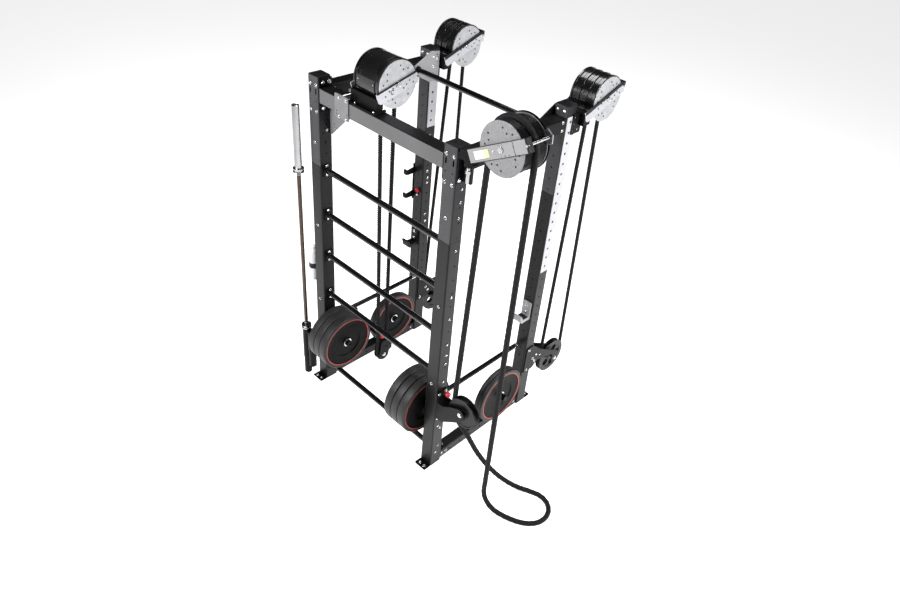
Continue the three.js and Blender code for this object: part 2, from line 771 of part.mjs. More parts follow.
function barSleeve(z0, z1, collar) {
  const outer = 25;
  const flange = 38;
  const profile = [[0, z0], [outer, z0], [outer, z1], [0, z1]];
  const ring = [[0, collar[0]], [flange, collar[0]], [flange, collar[1]], [0, collar[1]]];
  const at = [BAR.x, BAR.y, 0];
  return join([turned(profile, 'z', at, 20), turned(ring, 'z', at, 20)]);
}

function buildBarbell() {
  const lowCollar = BAR.z + BAR.sleeve + GAP;
  const lowEnd = lowCollar + BAR.collar;
  const top = BAR.z + BAR.length;
  const highCollar = top - BAR.sleeve;
  const highStart = highCollar - BAR.collar;
  add('bar_sleeve_lower', barSleeve(BAR.z, lowCollar + 1, [lowCollar, lowEnd]), chrome);
  add('bar_sleeve_upper', barSleeve(highCollar - 1, top, [highStart, highCollar]), chrome);
  add('bar_shaft', rod(BAR.shaft, lowEnd + GAP, highStart - GAP, 'z', [BAR.x, BAR.y, 0], 16), chrome);
  add('bar_holder', barHolder(), blackPaint);
}

function buildBottle() {
  const at = [BOTTLE.x, BOTTLE.y, 0];
  const { ringLow, ringHigh, z0, z1 } = BOTTLE;
  const ring = turned([[34, ringLow], [38, ringLow], [38, ringHigh], [34, ringHigh]], 'z', at, 20);
  const stem = box([BOTTLE.x + 36, -GAP], [BOTTLE.y - 14, BOTTLE.y + 14], [ringLow, ringHigh]);
  add('bottle_ring', ring.add(stem), blackPlastic);
  const seat = ringHigh + GAP;
  const body = [[0, z0], [33, z0], [33, seat], [37, seat], [37, z1 - 60], [16, z1 - 35], [16, z1], [0, z1]];
  add('bottle', turned(body, 'z', at, 20), whitePlastic);
}

// A spring-loaded locking pin with a round pull knob
function pullPin(name, axis, at) {
  const profile = [[0, 0], [6, 0], [6, 12], [17, 14], [19, 30], [14, 44], [0, 46]];
  add(name, turned(profile, axis, at, 16), redPlastic);
}

function buildFittings() {
  add('hook_plate', hookPlate(), blackPaint);
  add('j_cup_left', jCup(0, 905), silver);
  add('j_cup_right', jCup(WIDTH - TUBE, 868), silver);
  pullPin('pull_pin_front', 'z', [UNIT_1.x, UNIT_1.bottomY, 578 + GAP]);
  pullPin('pull_pin_side', 'x', [WIDTH + 8.5 + GAP, 75, 695]);
}

buildUprights();
buildBaseRails();
buildFrontBeam();
buildTopRails();
buildCrossTubes();
buildSideBars();
buildPullUpBar();
buildUnit1();
buildRearUnit('rear_left', UNIT_2);
buildRearUnit('rear_right', UNIT_4);
buildUnit3();
buildPulleys();
buildRopes();
buildPlates();
buildBarbell();
buildBottle();
buildFittings();

export default cage;
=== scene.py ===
"""Looks of a power cage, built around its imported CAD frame. Blender objects are in metres, +Z up.

Sizes in this script are in millimetres from the front left upright's outer bottom corner.
"""
import math

import bmesh
import bpy
from mathutils import Matrix, Vector
from mathutils.geometry import delaunay_2d_cdt


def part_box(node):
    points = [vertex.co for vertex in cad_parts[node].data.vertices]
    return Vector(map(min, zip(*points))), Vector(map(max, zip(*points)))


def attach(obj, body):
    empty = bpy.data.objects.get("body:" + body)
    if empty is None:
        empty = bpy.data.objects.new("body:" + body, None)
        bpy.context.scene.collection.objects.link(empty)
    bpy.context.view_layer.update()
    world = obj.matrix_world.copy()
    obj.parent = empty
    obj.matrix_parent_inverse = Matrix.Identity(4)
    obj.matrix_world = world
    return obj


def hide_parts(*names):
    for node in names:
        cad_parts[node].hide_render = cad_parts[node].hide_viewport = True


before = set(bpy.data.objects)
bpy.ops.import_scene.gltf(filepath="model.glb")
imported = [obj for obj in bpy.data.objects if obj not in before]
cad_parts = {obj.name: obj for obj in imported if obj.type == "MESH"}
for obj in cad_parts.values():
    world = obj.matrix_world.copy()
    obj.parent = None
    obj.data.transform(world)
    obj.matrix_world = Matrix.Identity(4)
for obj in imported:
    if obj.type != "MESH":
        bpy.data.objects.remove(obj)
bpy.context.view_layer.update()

MM = 0.001
FOOT_REACH = 59
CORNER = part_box("upright_front_left")[0] + Vector((0, FOOT_REACH * MM, 0))


def span(node):
    """Lowest and highest corner of a CAD node, in millimetres from the frame's corner."""
    return [(corner - CORNER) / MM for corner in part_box(node)]


def middle(node):
    low, high = span(node)
    return (low + high) / 2


# Driving dimensions, from the frame
TUBE = span("top_rail_left")[1].x
WIDTH = span("upright_front_right")[1].x
DEPTH = span("upright_rear_left")[1].y - FOOT_REACH
HEIGHT = span("upright_front_left")[1].z
SIDES = (("left", 0), ("right", WIDTH - TUBE))
REAR = DEPTH - TUBE
STORE = middle("plate_rear_left")
LOADED = middle("plate_left_outer")

# Tubes, axles, ropes, and the upright lines of the barbell, the spare tube and the bottle
WALL, CORNER_R, GAP = 4, 7, 0.3
SEAM = 1903
RUNG_Y = 50
AXLE, AXLE_BORE = 12, 12.6
ROPE_R, THICK_ROPE_R = 14, 18
BAR_X, BAR_Y, SPARE_X = -5, -100, 61
BOTTLE_X, BOTTLE_Y = -60, 32

PLANES = {"x": (1, 2), "y": (0, 2), "z": (0, 1)}
INDEX = {"x": 0, "y": 1, "z": 2}
WAYS = {"x": (1, 0, 0), "y": (0, 1, 0), "z": (0, 0, 1), "-x": (-1, 0, 0), "-y": (0, -1, 0), "-z": (0, 0, -1)}


# ---- Materials ----

def set_inputs(tree, node, inputs):
    """Give a node's inputs their values, or link them from sockets."""
    for name, value in inputs.items():
        if isinstance(value, bpy.types.NodeSocket):
            tree.links.new(value, node.inputs[name])
        else:
            node.inputs[name].default_value = value
    return node


def add_node(tree, kind, inputs):
    return set_inputs(tree, tree.nodes.new("ShaderNode" + kind), inputs)


def material(name, colour, rough, metal=0.0, vary=0.15, patches=9.0, grain=500.0, bump=0.06, spread=0.08,
             coat=0.0, specular=0.5, stretch=(1, 1, 1), fleck=None):
    """Procedural finish: patchy colour and roughness, a fine surface grain, and optional light flecks."""
    made = bpy.data.materials.new(name)
    made.use_nodes = True
    tree = made.node_tree
    solid = add_node(tree, "TexCoord", {}).outputs["Object"]
    spot = add_node(tree, "Mapping", {"Vector": solid, "Scale": stretch}).outputs["Vector"]
    broad = add_node(tree, "TexNoise", {"Vector": spot, "Scale": patches, "Detail": 4.0}).outputs["Fac"]
    fine = add_node(tree, "TexNoise", {"Vector": spot, "Scale": grain, "Detail": 2.0}).outputs["Fac"]
    ramp = add_node(tree, "ValToRGB", {"Fac": broad})
    for stop, place, way in zip(ramp.color_ramp.elements, (0.3, 0.7), (-1, 1)):
        stop.position = place
        stop.color = [min(1, c * (1 + way * vary)) for c in colour] + [1]
    tint = ramp.outputs["Color"]
    if fleck:
        level, fleck_colour = fleck
        mask = add_node(tree, "MapRange", {"Value": fine, "From Min": level, "From Max": level + 0.04})
        mix = {"Fac": mask.outputs["Result"], "Color1": tint, "Color2": [*fleck_colour, 1]}
        tint = add_node(tree, "MixRGB", mix).outputs["Color"]
    relief = add_node(tree, "Bump", {"Strength": bump, "Distance": 0.001, "Height": fine})
    gloss = add_node(tree, "MapRange", {"Value": broad, "To Min": max(0.02, rough - spread),
                                        "To Max": rough + spread})
    set_inputs(tree, tree.nodes["Principled BSDF"], {
        "Base Color": tint, "Roughness": gloss.outputs["Result"], "Normal": relief.outputs["Normal"],
        "Metallic": metal, "Coat Weight": coat, "Specular IOR Level": specular})
    return made


paint = material("black_paint", (0.003, 0.003, 0.0034), 0.36, patches=6, grain=700, bump=0.1, specular=0.1)
front_paint = material("charcoal_paint", (0.006, 0.006, 0.007), 0.34, patches=5, grain=700, specular=0.18)
# Lighter paint for the upper lengths' front faces: a painted sheen that stands for the lamps' reflection on
# the posts.
upper_paint = material("upper_paint", (0.035, 0.035, 0.038), 0.34, vary=0.12, patches=4, grain=700,
                       specular=0.3)
# Lighter paint for the front beam: painted light that stands for the lamp light on its front face.
painted_light_beam = material("painted_light_beam", (0.09, 0.088, 0.09), 0.36, vary=0.1, patches=4, grain=700, specular=0.3)
gloss_black = material("gloss_black", (0.004, 0.004, 0.005), 0.14, patches=12, grain=400, bump=0.03,
                       coat=0.35, specular=0.25)
grey = material("grey_paint", (0.26, 0.26, 0.27), 0.42, metal=0.2, vary=0.08, grain=600)
clamp_grey = material("clamp_grey", (0.15, 0.15, 0.155), 0.4, metal=0.2, vary=0.08, grain=600)
arm_grey = material("arm_grey", (0.24, 0.24, 0.245), 0.42, metal=0.2, vary=0.06, grain=600)
pale = material("pale_paint", (0.4, 0.4, 0.42), 0.36, metal=0.1, vary=0.08, patches=14)
zinc = material("zinc_sheet", (0.46, 0.465, 0.48), 0.36, metal=0.75, vary=0.1, patches=30, grain=520)
galvanised = material("galvanised_sheet", (0.2, 0.2, 0.205), 0.45, metal=0.5, vary=0.2, patches=90, grain=520)
cheek_zinc = material("brushed_sheet", (0.56, 0.57, 0.6), 0.32, metal=0.8, vary=0.08, patches=22, grain=260,
                      stretch=(1, 1, 9))
bolt_steel = material("bolt_steel", (0.6, 0.6, 0.61), 0.22, metal=1.0, vary=0.08, patches=60, grain=800)
hood_black = material("hood_plastic", (0.005, 0.005, 0.005), 0.2, vary=0.2, patches=8, grain=600, coat=0.6)
black_plastic = material("black_plastic", (0.005, 0.005, 0.0055), 0.34, patches=14, specular=0.2)
rope_black = material("rope_black", (0.007, 0.007, 0.008), 0.7, vary=0.3, patches=40, grain=420, bump=0.5,
                      specular=0.15, fleck=(0.7, (0.12, 0.12, 0.13)))
rubber = material("plate_rubber", (0.017, 0.017, 0.018), 0.46, vary=0.2, patches=10, grain=900, bump=0.2,
                  specular=0.3)
face_rubber = material("plate_face", (0.003, 0.003, 0.0033), 0.42, vary=0.14, patches=16, grain=900,
                       bump=0.15, specular=0.06)
ring_paint = material("ring_paint", (0.5, 0.05, 0.025), 0.45, vary=0.12, patches=20, grain=700)
chrome = material("hard_chrome", (0.42, 0.42, 0.43), 0.22, metal=1.0, vary=0.12, patches=12, grain=300,
                  bump=0.02, stretch=(1, 1, 0.2), spread=0.05)
shaft_steel = material("shaft_steel", (0.075, 0.055, 0.045), 0.32, metal=1.0, vary=0.12, patches=14,
                       grain=900, bump=0.35)
red = material("red_plastic", (0.5, 0.012, 0.02), 0.3, vary=0.1, patches=30, coat=0.3)
white = material("white_plastic", (0.62, 0.64, 0.67), 0.3, vary=0.05, patches=20, grain=400, coat=0.2)
label_grey = material("blank_patch", (0.8, 0.8, 0.78), 0.5, vary=0.05, patches=20)
label_tint = material("tinted_patch", (0.55, 0.6, 0.28), 0.5, vary=0.06, patches=20)


# ---- Mesh building ----

def inside(point, loop):
    """Whether a flat point lies in a closed loop, by counting crossings."""
    hit = False
    for (ax, ay), (bx, by) in zip(loop, loop[1:] + loop[:1]):
        if (ay > point[1]) != (by > point[1]) and point[0] < ax + (point[1] - ay) * (bx - ax) / (by - ay):
            hit = not hit
    return hit


def circle(x, y, r, n=12):
    return [(x + r * math.cos(2 * math.pi * i / n), y + r * math.sin(2 * math.pi * i / n)) for i in range(n)]


def arc(x, y, r, start, end, n):
    angles = [math.radians(start + (end - start) * i / n) for i in range(n + 1)]
    return [(x + r * math.cos(a), y + r * math.sin(a)) for a in angles]


def slot(x, y, half, r, turn=90):
    """A slot with round ends, its long way turned by `turn` degrees from the first axis."""
    a = math.radians(turn)
    dx, dy = half * math.cos(a), half * math.sin(a)
    return arc(x + dx, y + dy, r, turn - 90, turn + 90, 5) + arc(x - dx, y - dy, r, turn + 90, turn + 270, 5)


def rounded(x0, x1, y0, y1, r, n=4):
    return (arc(x1 - r, y1 - r, r, 0, 90, n) + arc(x0 + r, y1 - r, r, 90, 180, n)
            + arc(x0 + r, y0 + r, r, 180, 270, n) + arc(x1 - r, y0 + r, r, 270, 360, n))


def raised(flat, axis, depth):
    """A flat point given its third coordinate, along the axis across its plane."""
    point = list(flat)
    point.insert(INDEX[axis], depth)
    return point


def put_in_scene(name, data):
    made = bpy.data.objects.new(name, data)
    bpy.context.scene.collection.objects.link(made)
    return made


class Part:
    """Faces gathered in millimetres and made into one piece that rides on a CAD body."""

    def __init__(self, name, place=Matrix.Identity(4)):
        self.name = name
        self.place = place
        self.points = []
        self.faces = []
        self.marks = []
        self.materials = []
        self.current = 0

    def paint(self, wanted):
        if wanted not in self.materials:
            self.materials.append(wanted)
        self.current = self.materials.index(wanted)
        return self

    def add(self, points, faces):
        start = len(self.points)
        self.points += [self.place @ Vector(point) for point in points]
        self.faces += [[start + i for i in face] for face in faces]
        self.marks += [self.current] * len(faces)

    def block(self, x, y, z):
        corners = [(a, b, c) for a in x for b in y for c in z]
        sides = [(0, 1, 3, 2), (4, 6, 7, 5), (0, 4, 5, 1), (2, 3, 7, 6), (0, 2, 6, 4), (1, 5, 7, 3)]
        self.add(corners, sides)

    def sheet(self, outline, axis, low, high, holes=()):
        """A flat sheet with holes, from low to high along the axis across its outline."""
        loops = [list(outline)] + [list(hole) for hole in holes]
        flat = [Vector(point) for loop in loops for point in loop]
        rings = []
        start = 0
        for loop in loops:
            rings.append([start + i for i in range(len(loop))])
            start += len(loop)
        edges = [(a, b) for ring in rings for a, b in zip(ring, ring[1:] + ring[:1])]
        points, _, triangles, origins, *_ = delaunay_2d_cdt(flat, edges, [], 0, 1e-4)
        number = {source: i for i, sources in enumerate(origins) for source in sources}
        kept = []
        for face in triangles:
            centre = sum((points[i] for i in face), Vector((0, 0))) / len(face)
            if inside(centre, loops[0]) and not any(inside(centre, hole) for hole in loops[1:]):
                kept.append(list(face))
        count = len(points)
        faces = [face[::-1] for face in kept] + [[i + count for i in face] for face in kept]
        for ring in rings:
            loop = [number[i] for i in ring]
            faces += [(a, b, b + count, a + count) for a, b in zip(loop, loop[1:] + loop[:1]) if a != b]
        self.add([raised(point, axis, depth) for depth in (low, high) for point in points], faces)

    def turn(self, profile, way, at, n=40):
        """A round solid from [radius, station] pairs. It closes on its axis, or on itself as a ring."""
        aim = Vector((0, 0, 1)).rotation_difference(Vector(WAYS.get(way, way))).to_matrix()
        angles = [2 * math.pi * i / n for i in range(n)]
        points, rows = [], []
        for r, s in profile:
            if r < 1e-6:
                rows.append([len(points)])
                points.append(Vector((0, 0, s)))
            else:
                rows.append(list(range(len(points), len(points) + n)))
                points += [Vector((r * math.cos(a), r * math.sin(a), s)) for a in angles]
        pairs = list(zip(rows, rows[1:]))
        if profile[0][0] > 1e-6:
            pairs.append((rows[-1], rows[0]))
        faces = []
        for a, b in pairs:
            for i in range(n):
                j = (i + 1) % n
                face = list(dict.fromkeys((a[i % len(a)], a[j % len(a)], b[j % len(b)], b[i % len(b)])))
                if len(face) > 2:
                    faces.append(face)
        self.add([Vector(at) + aim @ point for point in points], faces)

    def disc(self, r, low, high, way, at, n=20):
        self.turn([(0, low), (r, low), (r, high), (0, high)], way, at, n)

    def rod(self, r, low, high, way, at, n=32, edge=1.0):
        self.turn([(0, low), (r - edge, low), (r, low + edge), (r, high - edge), (r - edge, high), (0, high)],
                  way, at, n)

    def ring(self, inner, outer, low, high, way, at, n=40, edge=0.8):
        self.turn([(inner, low), (outer - edge, low), (outer, low + edge), (outer, high - edge),
                   (outer - edge, high), (inner, high)], way, at, n)

    def square_tube(self, axis, low, high, holes=None, wall=WALL, r=CORNER_R):
        """A hollow square tube with round corners, and holes listed by side, such as "-y"."""
        holes = holes or {}
        for across in [p for p in "xyz" if p != axis]:
            cross = next(p for p in "xyz" if p not in (axis, across))
            ends = {p: [low[INDEX[p]], high[INDEX[p]]] for p in "xyz"}
            ends[cross] = [ends[cross][0] + r, ends[cross][1] - r]
            a, b = ["xyz"[i] for i in PLANES[across]]
            outline = [(ends[a][0], ends[b][0]), (ends[a][1], ends[b][0]), (ends[a][1], ends[b][1]),
                       (ends[a][0], ends[b][1])]
            start, end = ends[across]
            self.sheet(outline, across, start, start + wall, holes.get("-" + across, ()))
            self.sheet(outline, across, end - wall, end, holes.get("+" + across, ()))
        i, j = PLANES[axis]
        quarters = [(high[i] - r, high[j] - r, 0), (low[i] + r, high[j] - r, 90),
                    (low[i] + r, low[j] + r, 180), (high[i] - r, low[j] + r, 270)]
        for x, y, start in quarters:
            outline = arc(x, y, r, start, start + 90, 5) + arc(x, y, r - wall, start + 90, start, 5)
            self.sheet(outline, axis, low[INDEX[axis]], high[INDEX[axis]])

    def bolt(self, at, way, r=9.0):
        """A domed socket screw on a washer."""
        before = self.current
        self.paint(bolt_steel)
        self.turn([(0, 0), (r * 1.35, 0), (r * 1.35, 1.6), (r, 1.8), (r, 3.4), (r * 0.86, r * 0.5 + 2),
                   (r * 0.5, r * 0.62 + 2.4), (r * 0.42, r * 0.62 + 2.3), (r * 0.4, r * 0.3), (0, r * 0.3)],
                  way, at, 14)
        self.current = before

    def bolts(self, way, face, spots, r=9.0):
        """Socket screws on a flat face, at flat points on it."""
        for spot in spots:
            self.bolt(raised(spot, way[-1], face), way, r)

    def hex_bolt(self, at, way, r=10.0, height=7.0):
        before = self.current
        self.paint(bolt_steel)
        self.disc(r * 1.3, 0, 1.8, way, at, 18)
        self.turn([(0, 1.8), (r, 1.8), (r, height), (r * 0.85, height + 1), (0, height + 1)], way, at, 6)
        self.current = before

    def repaint(self, wanted, before, test):
        """Change one material for another on every face whose points all pass a test."""
        self.paint(wanted)
        for i, face in enumerate(self.faces):
            if self.materials[self.marks[i]] == before and all(test(self.points[k]) for k in face):
                self.marks[i] = self.current
        self.paint(before)

    def finish(self, node, slot_name="black_steel", body="root", bevel=0.7, sharp=38):
        """Make the mesh, with small bevels, and let it ride on a body in place of a CAD node."""
        mesh = bpy.data.meshes.new(self.name)
        mesh.from_pydata([CORNER + point * MM for point in self.points], [], self.faces)
        for made in self.materials:
            mesh.materials.append(made)
        mesh.polygons.foreach_set("material_index", self.marks)
        work = bmesh.new()
        work.from_mesh(mesh)
        bmesh.ops.recalc_face_normals(work, faces=work.faces)
        work.to_mesh(mesh)
        work.free()
        mesh.shade_smooth()
        mesh.set_sharp_from_angle(angle=math.radians(sharp))
        piece = put_in_scene(self.name, mesh)
        if bevel:
            edge = piece.modifiers.new("edges", "BEVEL")
            edge.width = bevel * MM
            edge.segments = 2
            edge.limit_method = "ANGLE"
            edge.angle_limit = math.radians(50)
            edge.use_clamp_overlap = False
        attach(piece, body)
        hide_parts(node)
        return piece


# ---- Camera, floor and light ----

CAMERA_AT = Vector((3688.2, -2608.9, 4185.1))
CAMERA_YAW, CAMERA_PITCH, CAMERA_ROLL = 40.889, 35.5, 5.854
CAMERA_LENS, CAMERA_SHIFT = 29.346, (-0.013, -0.0217)
FLOOR_GLOW, FLOOR_REACH, FLOOR_Z = 0.8, 60, -0.0005
SKY_LOW, SKY_HIGH, SKY_FADE = 0.75, 0.25, 0.9
# Each light: name, place and aim in metres, size, power in watts
LIGHTS = [
    ("top", (-0.6, 1.0, 6.5), (0, 0, 0.8), 3.5, 260),
    ("front", (-0.9, -3.9, 3.4), (0, 0, 2.2), 1.6, 230),
    ("right", (4.6, 1.2, 3.4), (0, 0.5, 2.2), 1.6, 330),
]


def make_camera():
    yaw, pitch, roll = (math.radians(a) for a in (CAMERA_YAW, CAMERA_PITCH, CAMERA_ROLL))
    forward = Vector((-math.sin(yaw) * math.cos(pitch), math.cos(yaw) * math.cos(pitch), -math.sin(pitch)))
    level = Vector((math.cos(yaw), math.sin(yaw), 0))
    side = level * math.cos(roll) + level.cross(forward) * math.sin(roll)
    rise = side.cross(forward)
    data = bpy.data.cameras.new("camera")
    data.lens = CAMERA_LENS
    data.shift_x, data.shift_y = CAMERA_SHIFT
    data.clip_end = 200
    camera = put_in_scene("camera", data)
    camera.matrix_world = Matrix((side, rise, -forward)).transposed().to_4x4()
    camera.location = CORNER + CAMERA_AT * MM
    bpy.context.scene.camera = camera


def make_floor():
    mesh = bpy.data.meshes.new("floor")
    corners = [(-1, -1), (1, -1), (1, 1), (-1, 1)]
    mesh.from_pydata([(x * FLOOR_REACH, y * FLOOR_REACH, FLOOR_Z) for x, y in corners], [], [(0, 1, 2, 3)])
    pale_floor = material("pale_floor", (0.93, 0.93, 0.93), 0.75, vary=0.004, patches=3, grain=60, bump=0.0,
                          specular=0.1)
    tree = pale_floor.node_tree
    glow = {"Emission Color": (1, 1, 1, 1), "Emission Strength": FLOOR_GLOW}
    set_inputs(tree, tree.nodes["Principled BSDF"], glow)
    mesh.materials.append(pale_floor)
    floor = put_in_scene("floor", mesh)


def make_light():
    """A sky that is brighter at the horizon, and three soft lamps."""
    world = bpy.data.worlds.new("studio")
    world.use_nodes = True
    tree = world.node_tree
    way = add_node(tree, "TexCoord", {}).outputs["Generated"]
    height = add_node(tree, "SeparateXYZ", {"Vector": way}).outputs["Z"]
    fade = add_node(tree, "MapRange", {"Value": height, "From Min": 0.0, "From Max": SKY_FADE,
                                       "To Min": SKY_LOW, "To Max": SKY_HIGH})
    set_inputs(tree, tree.nodes["Background"], {"Strength": fade.outputs["Result"]})
    bpy.context.scene.world = world
    bpy.context.scene.view_settings.view_transform = "Standard"
    for name, at, aim, size, power in LIGHTS:
        data = bpy.data.lights.new(name, "AREA")
        data.size = size
        data.energy = power
        light = put_in_scene(name, data)
        light.location = at
        light.rotation_euler = (Vector(aim) - Vector(at)).to_track_quat("-Z", "Y").to_euler()


# ---- Ropes ----

def resample(points, step):
    """Points at equal steps along a polyline, with both of its ends."""
    lengths = [0.0]
    for a, b in zip(points, points[1:]):
        lengths.append(lengths[-1] + (b - a).length)
    count = max(2, round(lengths[-1] / step))
    out, k = [], 0
    for i in range(count + 1):
        s = lengths[-1] * i / count
        while k < len(points) - 2 and lengths[k + 1] < s:
            k += 1
        share = (s - lengths[k]) / max(1e-9, lengths[k + 1] - lengths[k])
        out.append(points[k].lerp(points[k + 1], share))
    return out


def rope_mesh(part, path, radius, closed, pitch=None, depth=0.06, sides=18):
    """A laid rope of three strands, which wind round the path as ridges of its surface."""
    pitch = pitch or radius * 7
    count = len(path)
    tangents = []
    for i in range(count):
        a = path[(i - 1) % count] if closed or i else path[0]
        b = path[(i + 1) % count] if closed or i < count - 1 else path[-1]
        tangents.append((b - a).normalized())
    normal = tangents[0].orthogonal().normalized()
    points, run = [], 0.0
    for i in range(count):
        normal = (normal - tangents[i] * normal.dot(tangents[i])).normalized()
        side = tangents[i].cross(normal)
        if i:
            run += (path[i] - path[i - 1]).length
        wind = 2 * math.pi * run / pitch
        for j in range(sides):
            a = 2 * math.pi * j / sides
            r = radius * (1 - depth / 2 + depth / 2 * math.cos(3 * (a - wind)))
            points.append(path[i] + (normal * math.cos(a) + side * math.sin(a)) * r)
    faces = []
    for i in range(count if closed else count - 1):
        k = (i + 1) % count
        for j in range(sides):
            n = (j + 1) % sides
            faces.append((i * sides + j, i * sides + n, k * sides + n, k * sides + j))
    if not closed:
        faces += [tuple(range(sides))[::-1], tuple(range((count - 1) * sides, count * sides))]
    part.add(points, faces)


class Belt:
    """The path round a top and a bottom wheel, each (across, height, radius), in ten equal legs."""

    def __init__(self, top, bottom, crown=90):
        self.top, self.bottom, self.crown = top, bottom, math.radians(crown)
        reach = math.hypot(top[0] - bottom[0], top[1] - bottom[1])
        lean = math.atan2(bottom[0] - top[0], top[1] - bottom[1])
        flare = math.asin((bottom[2] - top[2]) / reach)
        self.left, self.right = math.pi - flare + lean, flare + lean

    @staticmethod
    def on(wheel, angle):
        return Vector((wheel[0] + wheel[2] * math.cos(angle), wheel[1] + wheel[2] * math.sin(angle)))

    def wrap(self, wheel, start, end, share):
        return self.on(wheel, start + (end - start) * share)

    def at(self, leg):
        if leg <= 1:
            return self.wrap(self.top, self.crown, self.left, leg)
        if leg <= 4:
            return self.on(self.top, self.left).lerp(self.on(self.bottom, self.left), (leg - 1) / 3)
        if leg <= 6:
            return self.wrap(self.bottom, self.left, self.right + 2 * math.pi, (leg - 4) / 2)
        if leg <= 9:
            return self.on(self.bottom, self.right).lerp(self.on(self.top, self.right), (leg - 6) / 3)
        return self.wrap(self.top, self.right, self.crown, leg - 9)


def catmull(points, per=14):
    """A smooth line through a list of points, evenly weighted by the distance between them."""
    full = [points[0] * 2 - points[1]] + points + [points[-1] * 2 - points[-2]]
    out = []
    for p0, p1, p2, p3 in zip(full, full[1:], full[2:], full[3:]):
        t1 = (p1 - p0).length ** 0.5
        t2 = t1 + (p2 - p1).length ** 0.5
        t3 = t2 + (p3 - p2).length ** 0.5
        for i in range(per):
            t = t1 + (t2 - t1) * i / per
            a1 = p0 * ((t1 - t) / t1) + p1 * (t / t1)
            a2 = p1 * ((t2 - t) / (t2 - t1)) + p2 * ((t - t1) / (t2 - t1))
            a3 = p2 * ((t3 - t) / (t3 - t2)) + p3 * ((t - t2) / (t3 - t2))
            b1 = a1 * ((t2 - t) / t2) + a2 * (t / t2)
            b2 = a2 * ((t3 - t) / (t3 - t1)) + a3 * ((t - t1) / (t3 - t1))
            out.append(b1 * ((t2 - t) / (t2 - t1)) + b2 * ((t - t1) / (t2 - t1)))
    return out + [points[-1]]


# The side rope's slack, in metres from the frame's corner: down from the drum, a loose bend, up to the pulley
SLACK_ROUTE = [
    (1.778, 0.050, 2.6417), (1.778, 0.050, 2.350), (1.778, 0.050, 1.900), (1.778, 0.050, 1.400),
    (1.778, 0.050, 0.900), (1.778, 0.050, 0.450), (1.778, 0.050, 0.220), (1.778, 0.050, 0.1285),
    (1.7927, 0.050, 0.0735), (1.833, 0.050, 0.0332), (1.888, 0.052, 0.0185), (1.942, 0.060, 0.0185),
    (2.002, 0.078, 0.0185), (2.062, 0.105, 0.0185), (2.118, 0.146, 0.0185), (2.156, 0.202, 0.0185),
    (2.165, 0.267, 0.0185), (2.143, 0.330, 0.0185), (2.090, 0.373, 0.0185), (2.020, 0.382, 0.0185),
    (1.950, 0.358, 0.0185), (1.8645, 0.308, 0.033), (1.779, 0.256, 0.077), (1.6935, 0.204, 0.155),
    (1.608, 0.152, 0.274), (1.524, 0.098, 0.448), (1.480, 0.068, 0.535), (1.454, 0.052, 0.588),
    (1.441, 0.050, 0.627), (1.436, 0.050, 0.664),
]
# Centres of the drums and of the bottom pulleys
FRONT_DRUM, FRONT_PULLEY = (520, 202, 2588), (520, 205, 446)
REAR_LEFT_DRUM, REAR_LEFT_PULLEY = (50, 1290, 2487), (50, 1225, 255)
REAR_RIGHT_DRUM, REAR_RIGHT_PULLEY = (1260, 1320, 2492), (1260, 1375, 255)
SIDE_DRUM, SIDE_PULLEY = (1633, RUNG_Y, 2642), (1526, RUNG_Y, 687)
# How a rope's strands show: their pitch, their depth as a share of the radius, and the mesh's step
TWISTED, FINE = (48, 0.36, 3.5), (62, 0.1, 5.5)
# Each closed loop: node, drum, pulley, the rope's bend on each of them, its own radius, and its strands
LOOPS = [
    ("rope_front", FRONT_DRUM, FRONT_PULLEY, (56, 38), ROPE_R + 1.5, TWISTED),
    ("rope_rear_left", REAR_LEFT_DRUM, REAR_LEFT_PULLEY, (65, 140), ROPE_R, FINE),
    ("rope_rear_right", REAR_RIGHT_DRUM, REAR_RIGHT_PULLEY, (65, 130), ROPE_R, FINE),
]
# The held rope's bend on drum and pulley, and how much of the belt's ten legs it covers
HELD_TOP, HELD_BOTTOM, HELD_LEGS = 145, 96, 4.132
THICK_STEP = 5.5


def make_slack_rope():
    path = resample(catmull([Vector(point) / MM for point in SLACK_ROUTE]), THICK_STEP)
    part = Part("side_rope_slack").paint(rope_black)
    rope_mesh(part, path, THICK_ROPE_R, False)
    piece = part.finish("rope_side_slack", "black_rope", bevel=0, sharp=80)


def make_tight_ropes():
    for node, (x, *top), (_, *bottom), (top_r, bottom_r), radius, (pitch, depth, step) in LOOPS:
        belt = Belt((*top, top_r), (*bottom, bottom_r))
        flat = [belt.at(leg / 60) for leg in range(600)]
        loop = resample([Vector((x, p.x, p.y)) for p in flat + flat[:1]], step)[:-1]
        part = Part(node + "_loop").paint(rope_black)
        rope_mesh(part, loop, radius, True, pitch, depth)
        part.finish(node, "black_rope", bevel=0, sharp=80)
    (top_x, _, top_z), (bottom_x, _, bottom_z) = SIDE_DRUM, SIDE_PULLEY
    belt = Belt((top_x, top_z, HELD_TOP), (bottom_x, bottom_z, HELD_BOTTOM), crown=0)
    flat = [belt.at(HELD_LEGS * i / 400) for i in range(401)]
    part = Part("side_rope_held").paint(rope_black)
    rope_mesh(part, resample([Vector((p.x, RUNG_Y, p.y)) for p in flat], THICK_STEP), THICK_ROPE_R, False)
    part.finish("rope_side_held", "black_rope", bevel=0, sharp=80)


# ---- Frame ----

def column(x, zs, r):
    return [circle(x, z, r, 10) for z in zs]


def circles(spots, r):
    return [circle(*spot, r) for spot in spots]


def end_cap(part, x, y):
    """A moulded cap pressed into the top of an upright, with a recessed oval."""
    part.paint(black_plastic)
    outline = rounded(x + 1, x + TUBE - 1, y + 1, y + TUBE - 1, CORNER_R)
    angles = [k * math.pi / 10 for k in range(20)]
    oval = [(x + TUBE / 2 + 22 * math.cos(a), y + TUBE / 2 + 12 * math.sin(a)) for a in angles]
    part.sheet(outline, "z", HEIGHT - 3, HEIGHT - 0.2, [oval])
    part.sheet(rounded(x + 5, x + TUBE - 5, y + 5, y + TUBE - 5, 4), "z", HEIGHT - 12, HEIGHT - 3.2)


